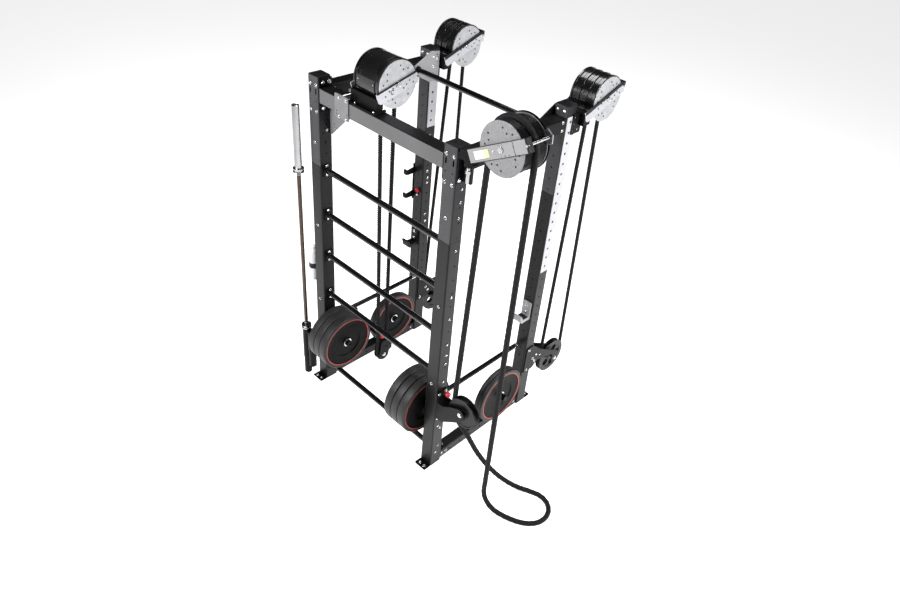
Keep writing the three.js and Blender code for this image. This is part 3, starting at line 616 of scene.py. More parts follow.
def upright(name, x, y, foot_way, front_bolts, holes):
    """One post: square tube in two lengths, foot plate with two anchor bolts, and an end cap."""
    part = Part(name).paint(front_paint)
    low = {side: [h for h in found if max(p[1] for p in h) < SEAM - 1] for side, found in holes.items()}
    high = {side: [h for h in found if min(p[1] for p in h) > SEAM + 1] for side, found in holes.items()}
    part.square_tube("z", (x, y, 0), (x + TUBE, y + TUBE, SEAM - 0.8), low)
    part.square_tube("z", (x, y, SEAM + 0.8), (x + TUBE, y + TUBE, HEIGHT - 2), high)
    # The upper length's front face takes the lighter paint, a painted sheen for the lamps' reflection near
    # the top.
    part.repaint(upper_paint, front_paint, lambda point: point.z > SEAM and point.y < y + WALL + 0.1)
    part.paint(black_plastic)
    inset, joint = WALL + 0.2, 40
    part.square_tube("z", (x + inset, y + inset, SEAM - joint),
                     (x + TUBE - inset, y + TUBE - inset, SEAM + joint), wall=3, r=5)
    end_cap(part, x, y)
    part.paint(paint)
    near = y if foot_way < 0 else y + TUBE
    edge = near + foot_way * FOOT_REACH
    anchor_y = (near + edge) / 2 + foot_way * 6
    part.sheet(rounded(x + 0.2, x + TUBE - 0.2, *sorted((near, edge)), 3), "z", 0, 8)
    part.bolts("z", 8, [(x + 27, anchor_y), (x + TUBE - 27, anchor_y)], 11)
    part.bolts("-y", y, front_bolts, 8.5)
    return part


def peg(part, face, way, length=235):
    """A storage peg: collar, sleeve with a chamfered end and a recessed end face."""
    at = (face, LOADED.y, LOADED.z)
    part.paint(paint)
    part.ring(24.6, 60, 0.2, 16, way, at, 48, 2)
    part.turn([(0, 0), (24.5, 0), (24.5, length - 3), (21.5, length), (16, length), (15, length - 5),
               (0, length - 5)], way, at, 36)


def make_front_uprights():
    for side, x in SIDES:
        pair = (x + 20, x + 77)
        bolts = [(a, z) for a in pair for z in (2452, 2281)] + [(x + 50, 2062), (x + 46, 780), (x + 52, 1430)]
        face_holes = [slot(a, 2411, 13, 6) for a in pair] + circles([(a, 2350) for a in pair], 4.5)
        spare = [z for z in range(430, 2230, 100) if z != 830]
        outer = "-x" if side == "left" else "+x"
        holes = {"-y": face_holes, outer: column(60, spare, 5), "+y": column(x + 50, spare, 5)}
        if side == "left":
            spots = [(46, 2164), (87, 2133), (33, 2134), (60, 2250), (60, 2219), (50, 1985)]
            holes["+x"] = [slot(60, 2190, 8, 4.5)] + circles(spots, 4.5)
        part = upright(f"front_{side}_post", x, 0, -1, bolts, holes)
        if side == "left":
            peg(part, TUBE, "x")
            part.bolt((TUBE, 64, 2150), "x", 8)
            part.turn([(0, 0), (11, 0), (11, 1.5), (8, 2.5), (0, 2.5)], "x", (TUBE, 50, 2065), 20)
        else:
            peg(part, x, "-x")
            part.bolts("x", WIDTH, [(63, 2247), (60, 2164), (58, 2061), (58, 1840), (58, 1500), (58, 1330),
                                    (60, 1120), (60, 1030), (60, 955), (55, 800), (40, 390), (62, 360),
                                    (60, 180), (40, 120)], 6.5)
        part.finish(f"upright_front_{side}")


def make_rear_uprights():
    """The rear posts, each with a light strip of holes, and what is fixed to their faces."""
    for side, x in SIDES:
        spare = range(330, 2250, 80)
        across = column(REAR + 50, spare, 6)
        part = upright(f"rear_{side}_post", x, REAR, 1, [],
                       {"-x": across, "+x": across, "-y": column(x + 50, spare, 5)})
        part.paint(pale)
        face, low, high = (TUBE, 1930, 2284) if side == "left" else (WIDTH, 1276, 2440)
        rows = [circle(REAR + 48, z, 9, 16) for z in range(low + 50, high - 30, 72)]
        part.sheet(rounded(REAR + 12, REAR + 94, low, high, 3), "x", face + GAP, face + 2.5, rows)
        part.bolts("-y", REAR, [(x + 24, 2476), (x + 76, 2476)])
        if side == "right":
            part.paint(paint)
            spots = [(a, b) for a in (REAR + 88, REAR + 128) for b in (2338, 2382, 2426)]
            part.sheet(rounded(REAR + 62, REAR + 156, 2316, 2449, 4), "x", WIDTH + 2.6, WIDTH + 8,
                       circles(spots, 7))
        else:
            spots = [(46, 1860), (52, 1800), (46, 1560), (54, 1500), (50, 1460), (48, 1180), (56, 1110)]
            part.bolts("x", TUBE, [(REAR + y, z) for y, z in spots], 8)
            part.paint(red)
            part.turn([(0, 0), (16, 0), (18, 4), (18, 12), (13, 17), (0, 18)], "-y", (52, REAR, 1390), 28)
            part.paint(bolt_steel)
            part.disc(9, 0, 8, "-y", (52, REAR, 1352))
        part.finish(f"upright_rear_{side}")


def make_base_rails():
    for side, x in SIDES:
        low, high = span(f"base_rail_{side}")
        centre = x + TUBE / 2
        store = (centre, STORE.y, STORE.z)
        part = Part(f"{side}_floor_rail").paint(front_paint)
        row = circles([(y, 38) for y in range(200, 860, 110)], 7)
        part.square_tube("y", (x + 10, low.y, 0), (x + TUBE - 10, high.y, 75), {"+x": row, "-x": row}, r=6)
        part.square_tube("z", (centre - 30, STORE.y - 30, 75.2), (centre + 30, STORE.y + 30, 366), r=5)
        part.paint(black_plastic)
        part.sheet(rounded(centre - 29.8, centre + 29.8, STORE.y - 29.8, STORE.y + 29.8, 5), "z", 366, 370)
        part.paint(paint)
        part.rod(24.5, 30, 150, "x", store, 36, 3)
        part.ring(24.6, 34, 30.2, 40, "x", store)
        part.bolts("-y", STORE.y - 30, [(centre, 105), (centre, 250)], 7)
        ys = (low.y + 22, low.y + 62, high.y - 30)
        part.bolts("x", x + TUBE - 10, [(y, 40) for y in ys], 8)
        part.bolts("-x", x + 10, [(y, 40) for y in ys], 8)
        part.bolts("z", 75, [(centre, y) for y in ys], 7)
        part.finish(f"base_rail_{side}")


def make_front_beam():
    low, high = span("front_beam")
    y0, y1, z0, z1, end = 5, 105, 2345, 2443, 8
    part = Part("front_crossbeam").paint(painted_light_beam)
    mouths = circles([(x, (z0 + z1) / 2) for x in range(460, 1160, 115)], 7)
    part.square_tube("x", (low.x + end, y0, z0), (high.x - end, y1, z1), {"+y": mouths})
    # The beam keeps the lighter paint as painted light on its sides, and only its top faces go back to the
    # plain black paint.
    part.repaint(paint, painted_light_beam, lambda point: point.z > z1 - WALL - 0.1)
    part.paint(paint)
    for edge, way, face in ((low.x, "x", low.x + end), (high.x - end, "-x", high.x - end)):
        part.sheet(rounded(y0 + 0.5, y1 - 0.5, z0 - 60, HEIGHT - 8, 9), "x", edge, edge + end)
        part.bolts(way, face, [(y, z) for y in (32, 82) for z in (2473, 2308)], 10)
    part.paint(clamp_grey)
    outline = [(low.x, z0 - 0.5), (low.x, 2120), (118, 2120), (300, 2302), (300, z0 - 0.5)]
    part.sheet(outline, "y", 88, 96, circles([(140, 2170), (150, 2200), (200, 2260), (215, 2285)], 6))
    part.bolts("-y", 88, [(150, 2310), (240, 2318)])
    part.finish("front_beam")


def make_top_rails():
    for side, x in SIDES:
        low, high = span(f"top_rail_{side}")
        part = Part(f"{side}_top_rail").paint(paint)
        row = circles([(y, 2391) for y in range(180, 900, 90)], 7)
        part.square_tube("y", (x, low.y, low.z), (x + TUBE, high.y, high.z), {"+x": row, "-x": row})
        spots = [(y, z) for y in (low.y + 26, high.y - 26) for z in (2365, 2417)]
        part.bolts("x", x + TUBE, spots, 8)
        part.bolts("-x", x, spots, 8)
        part.finish(f"top_rail_{side}")


def make_cross_tubes():
    """The rungs and the low tube, each with a bolted flange and a weld collar at both ends."""
    for node in ("rung_1", "rung_2", "rung_3", "rung_4", "bottom_tube"):
        low, high = span(node)
        z = (low.z + high.z) / 2
        part = Part(node + "_bar").paint(gloss_black)
        part.rod(20, low.x, high.x, "x", (0, RUNG_Y, z), 36, 0.5)
        for edge, way, face in ((low.x, "x", low.x + 6), (high.x - 6, "-x", high.x - 6)):
            part.paint(paint)
            part.sheet(rounded(18, 82, z - 45, z + 45, 8), "x", edge, edge + 6)
            part.paint(gloss_black)
            part.ring(20.1, 24, 0, 4, way, (face, RUNG_Y, z), 32)
            part.bolts(way, face, [(RUNG_Y, z - 33), (RUNG_Y, z + 33)], 8)
        part.finish(node)


def make_side_bars():
    for side, _ in SIDES:
        low, high = span(f"side_bar_{side}")
        x, _, z = middle(f"side_bar_{side}")
        part = Part(f"{side}_side_bar").paint(gloss_black)
        part.rod(18, low.y + 46, high.y - 46, "y", (x, 0, z), 32, 2)
        part.paint(bolt_steel)
        for start, end in ((low.y + 0.2, low.y + 52), (high.y - 51.8, high.y)):
            part.sheet(rounded(x - 17, x + 17, start, end, 8), "z", z - 5, z + 5)
        part.bolts("z", z + 5, [(x, low.y + 20), (x, high.y - 20)], 8)
        part.finish(f"side_bar_{side}")


def make_pull_up_bar():
    outline = [(DEPTH - 12, 2490), (DEPTH - 90, 2502), (812, 2425), (812, 2368), (836, 2352), (REAR, 2285),
               (DEPTH - 12, 2285)]
    for side, coat, way in (("left", grey, "x"), ("right", paint, "-x")):
        low, high = span(f"bar_plate_{side}")
        part = Part(f"{side}_bar_plate").paint(coat)
        part.sheet(outline, "x", low.x, high.x, [slot(980, 2330, 14, 6), circle(1020, 2470, 6)])
        face = high.x if way == "x" else low.x
        part.bolts(way, face, [(985, 2462), (1022, 2440), (985, 2392), (1022, 2310)])
        part.finish(f"bar_plate_{side}", "grey_steel")
    low, high = span("pull_up_bar")
    _, y, z = middle("pull_up_bar")
    part = Part("chin_bar").paint(gloss_black)
    part.rod(19, low.x, high.x, "x", (0, y, z), 36)
    for x, way in ((low.x, "x"), (high.x, "-x")):
        part.ring(19.1, 27, 0.2, 7, way, (x, y, z), 32)
    part.finish("pull_up_bar")


# ---- Drum units ----

DISC_R, DISC_NEAR, DISC_FAR = 145, 84, 87.8
ARM_NEAR, ARM_FAR, ARM_HALF, POINT = 88, 94, 38, 18
TIP_ROD = 98


class Unit:
    """A drum unit in its own frame: X along the axle, Y the way the arm points."""

    def __init__(self, name, at, turn, **shape):
        self.name, self.at = name, at
        self.__dict__.update(shape)
        self.place = Matrix.Translation(Vector(at)) @ Matrix.Rotation(math.radians(turn), 4, "Z")

    def part(self, name):
        return Part(f"{self.name}_{name}", self.place)

    def arm(self, along, across):
        """A flat point of the tilted arm, by its distances along and across the arm."""
        c, s = math.cos(math.radians(self.rise)), math.sin(math.radians(self.rise))
        return along * c - across * s, along * s + across * c + self.drop

    def panel(self, low, high, bottom, top):
        return [self.arm(low, bottom), self.arm(high, bottom), self.arm(high, top), self.arm(low, top)]

    def sides(self, side, near, far):
        """Two stations on one side of the drum, which is deeper on its negative side."""
        shift = self.deep if side < 0 else 0
        return sorted((near * side - shift, far * side - shift))


REAR_SHAPE = dict(rise=19, drop=0, tail=232, tip=160, rod_at=168, deep=16, base=((-232, -165), (-125, -45)),
                  hood=(24, 214), rope=ROPE_R, shoulder=128, groove=36)
UNITS = [
    Unit("front", FRONT_DRUM, 0, rise=15, drop=-20, tail=165, tip=150, rod_at=158, deep=52,
         base=((-165, -128), (-139, -60)), hood=(18, 200), rope=ROPE_R, shoulder=128, groove=36),
    Unit("rear_left", REAR_LEFT_DRUM, 0, **REAR_SHAPE),
    Unit("rear_right", REAR_RIGHT_DRUM, 0, **REAR_SHAPE),
    Unit("side", SIDE_DRUM, -90, rise=29, drop=-4, tail=228, tip=168, rod_at=176, deep=0,
         base=((-232, -195), (-185, -75)), rope=THICK_ROPE_R, shoulder=140, groove=121),
]


def disc_screws(unit):
    """Sunk screws of the side disc, in four groups of three."""
    spots = []
    for group in range(4):
        for spread in (-17, 0, 17):
            a = math.radians(unit.rise + 50 + 90 * group + spread)
            r = 112 if spread else 92
            spots.append((r * math.cos(a), r * math.sin(a)))
    return spots


def cheek(part, unit, side):
    """One side of a unit: the round disc, the arm's plate over it, screws on the disc, black dots of painted
    shade for the arm plate's holes, and the axle's nut.
    """
    sheet = galvanised if unit.name == "side" else zinc
    way, face = ("x", 1) if side > 0 else ("-x", 0)
    bore = circle(0, 0, 12.2, 24)
    disc = unit.sides(side, DISC_NEAR, DISC_FAR)
    part.paint(sheet)
    part.sheet(circle(0, 0, DISC_R, 96), "x", *disc, [bore])
    part.ring(12.3, 30, 0, 4, "x", (disc[0] - 4 if side > 0 else disc[1], 0, 0), 32)
    part.paint(black_plastic)
    for spot in disc_screws(unit):
        part.rod(5.5, 0, 1.2, way, (disc[face], *spot), 12, 0.4)
    plate = unit.sides(side, ARM_NEAR, ARM_FAR)
    tail, tip = -unit.tail, unit.tip
    outline = [(tail, POINT - ARM_HALF), (tail + POINT, -ARM_HALF), (tip, -ARM_HALF), (tip + POINT, 0),
               (tip, ARM_HALF), (tail, ARM_HALF)]
    part.paint(cheek_zinc)
    part.sheet([unit.arm(*spot) for spot in outline], "x", *plate, [bore])
    # Black dots on the arm plate: painted shade that stands for the dark inside its holes.
    part.paint(black_plastic)
    for spot in ((-70, 12), (-40, 16), (38, -18), (64, -6), (90, 8), (-104, -6), (116, -16)):
        part.rod(5.5, 0, 1.2, way, (plate[face], *unit.arm(*spot)), 12, 0.4)
    part.paint(bolt_steel)
    at = (plate[face], 0, 0)
    part.turn([(12.3, 0), (22, 0), (22, 1.6), (12.3, 1.6)], way, at, 28)
    part.turn([(12.3, 1.6), (19, 1.6), (19, 7.8), (12.3, 7.8)], way, at, 6)


def arm_frame(part, unit):
    """Both cheeks, the axle, the rod at the tip, the base block, and a black strip along a cheek's upper
    edge.
    """
    cheek(part, unit, 1)
    cheek(part, unit, -1)
    part.paint(bolt_steel)
    part.rod(AXLE, -ARM_FAR - 8 - unit.deep, ARM_FAR + 8, "x", (0, 0, 0), 28, 1.5)
    tip = (0, *unit.arm(unit.rod_at, 0))
    if unit.name == "side":
        part.rod(7.5, -TIP_ROD, TIP_ROD, "x", tip, 24, 1.5)
        part.paint(black_plastic)
        part.rod(8.5, -TIP_ROD - 0.5, 34 - TIP_ROD, "x", tip, 24, 1.5)
    else:
        part.rod(9, -TIP_ROD - unit.deep, TIP_ROD, "x", tip, 24, 1.5)
    part.paint(paint)
    part.block((1 - ARM_FAR - unit.deep, ARM_FAR - 1), *unit.base)
    part.paint(black_plastic)
    if unit.name != "side":
        width = 7 if unit.name == "front" else 19
        part.sheet(unit.panel(4 - unit.tail, unit.tip + 4, ARM_HALF - width, ARM_HALF + 1.5), "x",
                   ARM_NEAR - 0.5, ARM_FAR + 2.5)
    if unit.name.startswith("rear"):
        y, z = unit.arm(unit.tip + 2, 24)
        part.block((30, ARM_FAR + 5), (y - 14, y + 16), (z - 10, z + 14))


def make_front_arm(unit):
    part = unit.part("arm")
    arm_frame(part, unit)
    # A black C-shaped sheet on the cheek: painted shade that stands for the dark inside a curved slot.
    centre = unit.arm(-48, -4)
    curve = arc(*centre, 15, 40, 310, 14) + arc(*centre, 10, 310, 40, 14)
    part.sheet(curve, "x", ARM_FAR, ARM_FAR + 1.2)
    # the clamp round the front beam, in the frame's own axes
    part.place = Matrix.Identity(4)
    part.paint(clamp_grey)
    outline = rounded(271, 399, 2325, 2474, 5)
    rods = [(x, z) for x in (312, 380) for z in (2455, 2335)]
    holes = circles(rods, 7.2)
    part.sheet(outline, "y", -4, 4.7, holes + circles([(288, 2364), (288, 2345), (388, 2366)], 4.5))
    part.sheet(outline, "y", 105.3, 113, holes)
    part.paint(paint)
    spots = [(430, 24), (600, 24), (600, 92), (430, 92)]
    part.sheet(rounded(262, 620, 8, 108, 4), "z", 2443.3, 2453, circles(spots, 5))
    part.paint(bolt_steel)
    for x, z in rods:
        part.rod(6.8, -9, 119, "y", (x, 0, z), 18)
        part.hex_bolt((x, -4, z), "-y", 10, 6)
        part.hex_bolt((x, 113, z), "y", 10, 5)
    part.bolts("z", 2453, spots, 7)
    part.finish("drum_arm_front", "silver_steel")


def make_rear_arm(unit):
    part = unit.part("arm")
    arm_frame(part, unit)
    back = DEPTH - unit.at[1] + GAP
    half = TUBE / 2 - 0.5
    part.paint(paint)
    part.sheet(rounded(-half, half, -190, -20, 5), "y", back, back + 8)
    part.block((-44, 44), (back + 8, -200), (-120, -50))
    for x in (-32, 32):
        for z in (-174, -36):
            part.hex_bolt((x, back + 8, z), "y", 9, 6)
    part.finish(f"drum_arm_{unit.name}", "silver_steel")


def make_side_arm(unit):
    part = unit.part("arm")
    arm_frame(part, unit)
    # a cover over the arm's near cheek, with a seam, screws and two blank patches
    seam, end, skin = 90, unit.tip + 4, ARM_FAR + 3
    part.paint(arm_grey)
    screws = [circle(*unit.arm(a, b), 3.2, 8) for a in (-6, 22, 50) for b in (-29, 29)]
    main_screw = unit.arm(-52, 2)
    holes = screws + [circle(*main_screw, 5.5)]
    part.sheet(unit.panel(-unit.tail, seam - 2, -37.5, 37.5), "x", ARM_FAR, skin, holes)
    part.sheet(unit.panel(seam + 2, end, -37.5, 37.5), "x", ARM_FAR, skin)
    part.paint(black_plastic)
    part.sheet(unit.panel(end, end + 13, -36, 37), "x", 62, skin)
    part.sheet(unit.panel(-unit.tail, end, 35, 38.4), "x", ARM_FAR - 5, skin + 0.8)
    part.sheet(unit.panel(-unit.tail, end, -38.4, -35.6), "x", ARM_FAR - 5, skin + 0.8)
    part.ring(12.4, 151, -ARM_FAR - 6, -ARM_FAR - 0.5, "x", (0, 0, 0), 96)
    for tint, low, high in ((label_grey, -186, -118), (label_tint, -117, -84)):
        part.paint(tint)
        part.sheet(unit.panel(low, high, -22, 20), "x", skin, skin + 0.5)
    part.hex_bolt((skin, *main_screw), "x", 6, 4)
    # hinge bracket on the upright's right face
    face = WIDTH - unit.at[0] + GAP
    part.paint(paint)
    part.sheet(rounded(-45, 45, -345, -150, 6), "y", face, face + 10)
    part.block((-45, 45), (face + 10, -194), (-185, -125))
    part.block((-9, 9), (face + 10, face + 75), (-330, -184))
    for x in (-32, 32):
        for z in (-172, -322):
            part.hex_bolt((x, face + 10, z), "y", 9, 7)
    part.paint(bolt_steel)
    part.rod(17, -332, -200, "z", (0, face + 48, 0), 28, 2)
    part.rod(22, -272, -250, "z", (0, face + 48, 0), 28, 2)
    part.finish("drum_arm_side", "silver_steel")


def make_drum(unit):
    """The rope drum: ribbed shoulders, and a groove that the rope runs in."""
    near, far, groove, top = -80 - unit.deep, 80, unit.rope + 4, unit.shoulder
    profile = [(AXLE_BORE, near), (top - 4, near), (top, near + 3)]
    ribs = 9 if unit.name == "side" else 5
    for low, high in ((near + 3, -groove - 4), (groove + 4, far - 3)):
        pitch = (high - low) / ribs
        if low > 0:
            profile += [(unit.groove, 4 - groove), (unit.groove, groove - 4), (top - 2, groove)]
        for i in range(ribs):
            start = low + i * pitch
            profile += [(top, start + pitch * 0.15), (top, start + pitch * 0.7),
                        (top - 5, start + pitch * 0.8), (top - 5, start + pitch * 0.98)]
    profile += [(top - 4, far), (AXLE_BORE, far)]
    part = unit.part("reel").paint(black_plastic)
    part.turn(profile, "x", (0, 0, 0), 96)
    part.finish(f"drum_{unit.name}", "black_plastic", f"drum_{unit.name}", bevel=0.5)


def hood_shell(part, start, end, inner, outer, low, high, steps=48):
    part.sheet(arc(0, 0, outer, start, end, steps) + arc(0, 0, inner, end, start, steps), "x", low, high)


def make_hood(unit):
    """The shell over a drum, with lips at its rims and raised bands round it."""
    low, high = -83.5 - unit.deep, 83.5
    part = unit.part("hood").paint(hood_black)
    hood_shell(part, *unit.hood, 144, 146, low, high)
    if unit.name == "front":
        bands = [(low, low + 10, 153), (low + 28, low + 60, 150.5), (low + 60, high - 34, 151.5),
                 (high - 12, high, 153)]
    else:
        pitch, rib = (high - low - 14) / 3, 14
        bands = [(low + i * pitch, low + i * pitch + rib, 153) for i in range(4)]
        middles = [low + (i + 0.5) * pitch + rib / 2 for i in range(3)]
        bands += [(x - 5, x + 5, 148) for x in middles]
    for a, b, r in bands:
        hood_shell(part, *unit.hood, 145.5, r, a, b)
    if unit.name == "front":
        for a in (168, 192):
            hood_shell(part, a - 4, a - 1, 147, 152.5, low + 30, high - 34, 4)
        a = math.radians(176)
        way = (0, math.cos(a), math.sin(a))
        part.paint(bolt_steel)
        for x in (low + 40, high - 44):
            part.disc(4, 0, 1.5, way, (x, 151 * way[1], 151 * way[2]), 12)
    part.finish(f"drum_hood_{unit.name}", "black_plastic", bevel=1.0)


def make_units():
    for unit in UNITS:
        make_drum(unit)
        if unit.name != "side":
            make_hood(unit)
    make_front_arm(UNITS[0])
    make_rear_arm(UNITS[1])
    make_rear_arm(UNITS[2])
    make_side_arm(UNITS[3])


# ---- Bottom pulleys and their brackets ----

WEB_HOLES, WEB_HOLE_R, WEB_HOLE_AT = 5, 32, 72


def make_pulley(name, at, rope_r, rope, axis="x", web_open=False):
    """A grooved wheel. A large one is a rim and a hub either side of a web with round openings."""
    rim, groove, half = rope_r + 16, rope_r - rope - 2, rope + 6
    bowl = [(groove + (rim - groove) * (1 - math.sin(a)) * 0.9, -(half - 4) * math.cos(a))
            for a in [math.pi * k / 10 for k in range(1, 10)]]
    outside = [(rim - 10, -half), (rim - 1, -half), (rim, 1 - half), (rim, 3 - half), *bowl, (rim, half - 3),
               (rim, half - 1), (rim - 1, half), (rim - 10, half)]
    part = Part(f"{name}_wheel").paint(black_plastic)
    if web_open:
        x, y, z = at
        inner = groove - 8
        part.turn([(inner, -half), *outside, (inner, half)], axis, at, 96)
        part.ring(AXLE_BORE, 34, -half, half, axis, at, 48)
        angles = [2 * math.pi * k / WEB_HOLES for k in range(WEB_HOLES)]
        holes = [circle(y + WEB_HOLE_AT * math.cos(a), z + WEB_HOLE_AT * math.sin(a), WEB_HOLE_R, 28)
                 for a in angles]
        holes.append(circle(y, z, 33, 48))
        part.sheet(circle(y, z, inner + 1, 96), axis, x - half + 4, x + half - 4, holes)
    else:
        part.turn([(AXLE_BORE, -half), (30, -half), (32, 4 - half), (rim - 14, 4 - half), *outside,
                   (rim - 14, half - 4), (32, half - 4), (30, half), (AXLE_BORE, half)], axis, at, 72)
    part.finish(name, "black_plastic", name, bevel=0.5)


def make_rear_bracket(suffix, at):
    """Two cheeks along an upright's sides, which hold the pulley's axle between them."""
    x, y, z = at
    outline = [(DEPTH - 85, 568), (DEPTH - 12, 568), (1162, 465), (y + 34, z + 60)]
    outline += arc(y, z, 38, 0, -180, 16)
    outline += [(y - 40, z + 60), (1130, 375), (1072, 327), (DEPTH - 85, 327)]
    part = Part(f"{suffix}_pulley_bracket").paint(paint)
    outer, stay = TUBE / 2 + GAP, (DEPTH + 95, 420)
    for low, way in ((x + outer, "x"), (x - outer - 7, "-x")):
        part.sheet(outline, "x", low, low + 7, [slot(1110, 440, 12, 7, -40)])
        face = low + 7 if way == "x" else low
        part.bolts(way, face, [(DEPTH - 60, 545), (DEPTH - 60, 350), (1060, 430), (1085, 392)])
        part.hex_bolt((face, y, z), way, 13, 8)
        part.bolt((face, *stay), way, 7)
    part.rod(AXLE, -outer - 6, outer + 6, "x", at, 24)
    part.rod(10, -outer - 6, outer + 6, "x", (x, *stay), 20)
    part.finish(f"pulley_bracket_{suffix}")


def make_front_bracket():
    """An arm from the left side bar to two cheeks round the front pulley."""
    x, y, z = FRONT_PULLEY
    low, high = (278, 318), (478, 518)
    outline = [(278, 518), (278, 478), (252, 462)] + arc(y, z, 46, 10, -200, 16)
    outline += [(178, 572), (184, 578), (232, 578), (240, 570)]
    part = Part("front_pulley_bracket").paint(paint)
    left = span("pulley_bracket_front")[0].x
    part.square_tube("x", (left, low[0], high[0]), (x - 31, low[1], high[1]), wall=3, r=5)
    part.block((left, left + 40), low, (high[1], 561.7))
    for near, face, way in ((x - 31, x - 31, "-x"), (x + 26, x + 31, "x")):
        part.sheet(outline, "x", near, near + 5, [circle(222, 520, 7)])
        part.hex_bolt((face, y, z), way, 12, 6)
    part.sheet(rounded(*low, *high, 3), "x", x - 31, x - 26)
    part.block((x - 26, x + 26), (190, 220), (560, 577))
    part.rod(AXLE, -30, 30, "x", (x, y, z), 24)
    part.finish("pulley_bracket_front")


def make_side_bracket():
    x, y, z = SIDE_PULLEY
    low = WIDTH + 8
    outline = [(low, 500), (low + 52, 505), (1440, 556), (1480, 586), (1520, 612), (1545, 640), (1560, 662),
               (1565, 685), (1560, 708), (1545, 725), (1528, 731), (1510, 730), (1440, 696), (low + 52, 650),
               (low, 650)]
    part = Part("side_pulley_bracket").paint(paint)
    part.sheet(rounded(y - 47, y + 47, 470, 730, 6), "x", WIDTH + GAP, low + 0.5)
    for near, face, way in ((y - 47, y - 47, "-y"), (y + 40, y + 47, "y")):
        part.sheet(outline, "y", near, near + 7)
        part.hex_bolt((x, face, z), way, 13, 7)
    part.bolts("x", low + 0.5, [(a, b) for a in (y - 30, y + 30) for b in (486, 712)])
    part.rod(AXLE, -44, 44, "y", (x, y, z), 24)
    part.finish("pulley_bracket_side")


def make_pulleys():
    make_pulley("pulley_front", FRONT_PULLEY, 38, ROPE_R)
    make_pulley("pulley_rear_left", REAR_LEFT_PULLEY, 140, ROPE_R, web_open=True)
    make_pulley("pulley_rear_right", REAR_RIGHT_PULLEY, 130, ROPE_R, web_open=True)
    make_pulley("pulley_side", SIDE_PULLEY, 96, THICK_ROPE_R, "y")
    make_rear_bracket("rear_left", REAR_LEFT_PULLEY)
    make_rear_bracket("rear_right", REAR_RIGHT_PULLEY)
    make_front_bracket()
    make_side_bracket()


# ---- Weight plates ----

PLATE_R, FACE_R, PLATE_BORE = 225, 200, 25.5
# Each plate node: how many plates it holds and how thick each is
PLATES = {"plates_left_inner": (2, 63), "plate_left_outer": (1, 63), "plates_right_inner": (2, 63),
          "plate_right_outer": (1, 63), "plate_rear_left": (1, 63), "plates_rear_right": (2, 35)}


def plate_profile(start, thickness):
    """One bumper plate: round shoulders, a stepped face each side, and a recess round the hub."""
    near = [(PLATE_BORE, 4), (PLATE_BORE + 14, 4), (PLATE_BORE + 16, 9), (112, 9), (118, 3), (150, 2.4),
            (196, 1.4), (201, 0), (214, 0)]
    angles = [math.pi * k / 12 for k in range(1, 7)]
    near += [(PLATE_R - 9 + 9 * math.sin(a), 9 - 9 * math.cos(a)) for a in angles]
    return [(r, start + s) for r, s in near] + [(r, start + thickness - s) for r, s in reversed(near)]


def make_plates(node, count, thickness):
    """Plates side by side, each with a steel hub and a plain painted ring on both faces."""
    low, high = span(node)
    _, y, z = middle(node)
    at = (0, y, z)
    part = Part(node + "_rubber")
    pitch = (high.x - low.x + 2) / count
    for i in range(count):
        start = low.x + i * pitch
        end = start + thickness
        part.paint(rubber)
        part.turn(plate_profile(start, thickness), "x", at, 120)
        part.repaint(face_rubber, rubber, lambda point: math.hypot(point.y - y, point.z - z) < FACE_R)
        part.paint(bolt_steel)
        part.turn([(25.6, start + 3), (33, start + 3), (35, start + 4.4), (35, end - 4.4), (33, end - 3),
                   (25.6, end - 3)], "x", at, 48)
        part.paint(ring_paint)
        for face, heights in ((start, (1.1, 0.1, 0, 0.8)), (end, (-1.6, -0.6, 0.5, -0.3))):
            part.turn([(r, face + h) for r, h in zip((194, 199.5, 199.5, 194), heights)], "x", at, 120)
    part.finish(node, "rubber", node, bevel=0)


def make_all_plates():
    for node, (count, thickness) in PLATES.items():
        make_plates(node, count, thickness)


# ---- Barbell, bottle and fittings ----

# The collar of a barbell sleeve: radius, and distance from the sleeve's inner end
COLLAR = [(25, 29.4), (38, 29), (38, 20), (30, 16), (30, 6), (38, 4), (38, 0.5), (22, 0), (0, 0)]


def make_barbell():
    at = (BAR_X, BAR_Y, 0)
    z0, z1 = (corner.z for corner in span("bar_sleeve_lower"))
    part = Part("lower_sleeve").paint(chrome)
    part.turn([(0, z0), (20, z0), (22, z0 + 1), (25, z0 + 4)] + [(r, z1 - s) for r, s in COLLAR], "z", at, 48)
    part.finish("bar_sleeve_lower", "chrome", "bar_sleeve_lower", bevel=0.4)
    z0, z1 = (corner.z for corner in span("bar_sleeve_upper"))
    part = Part("upper_sleeve").paint(chrome)
    part.turn([(r, z0 + s) for r, s in reversed(COLLAR)]
              + [(25, z1 - 4), (22, z1 - 1), (20, z1), (17, z1), (16, z1 - 3), (0, z1 - 3)], "z", at, 48)
    part.finish("bar_sleeve_upper", "chrome", "bar_sleeve_upper", bevel=0.4)
    z0, z1 = (corner.z for corner in span("bar_shaft"))
    part = Part("knurled_shaft").paint(shaft_steel)
    part.disc(14, z0, z1, "z", at, 40)
    part.paint(chrome)
    for z in (z0 + 18, z1 - 22):
        part.ring(14.02, 14.5, z, z + 4, "z", at, 40, 0.2)
    part.finish("bar_shaft", "chrome", "barbell", bevel=0)


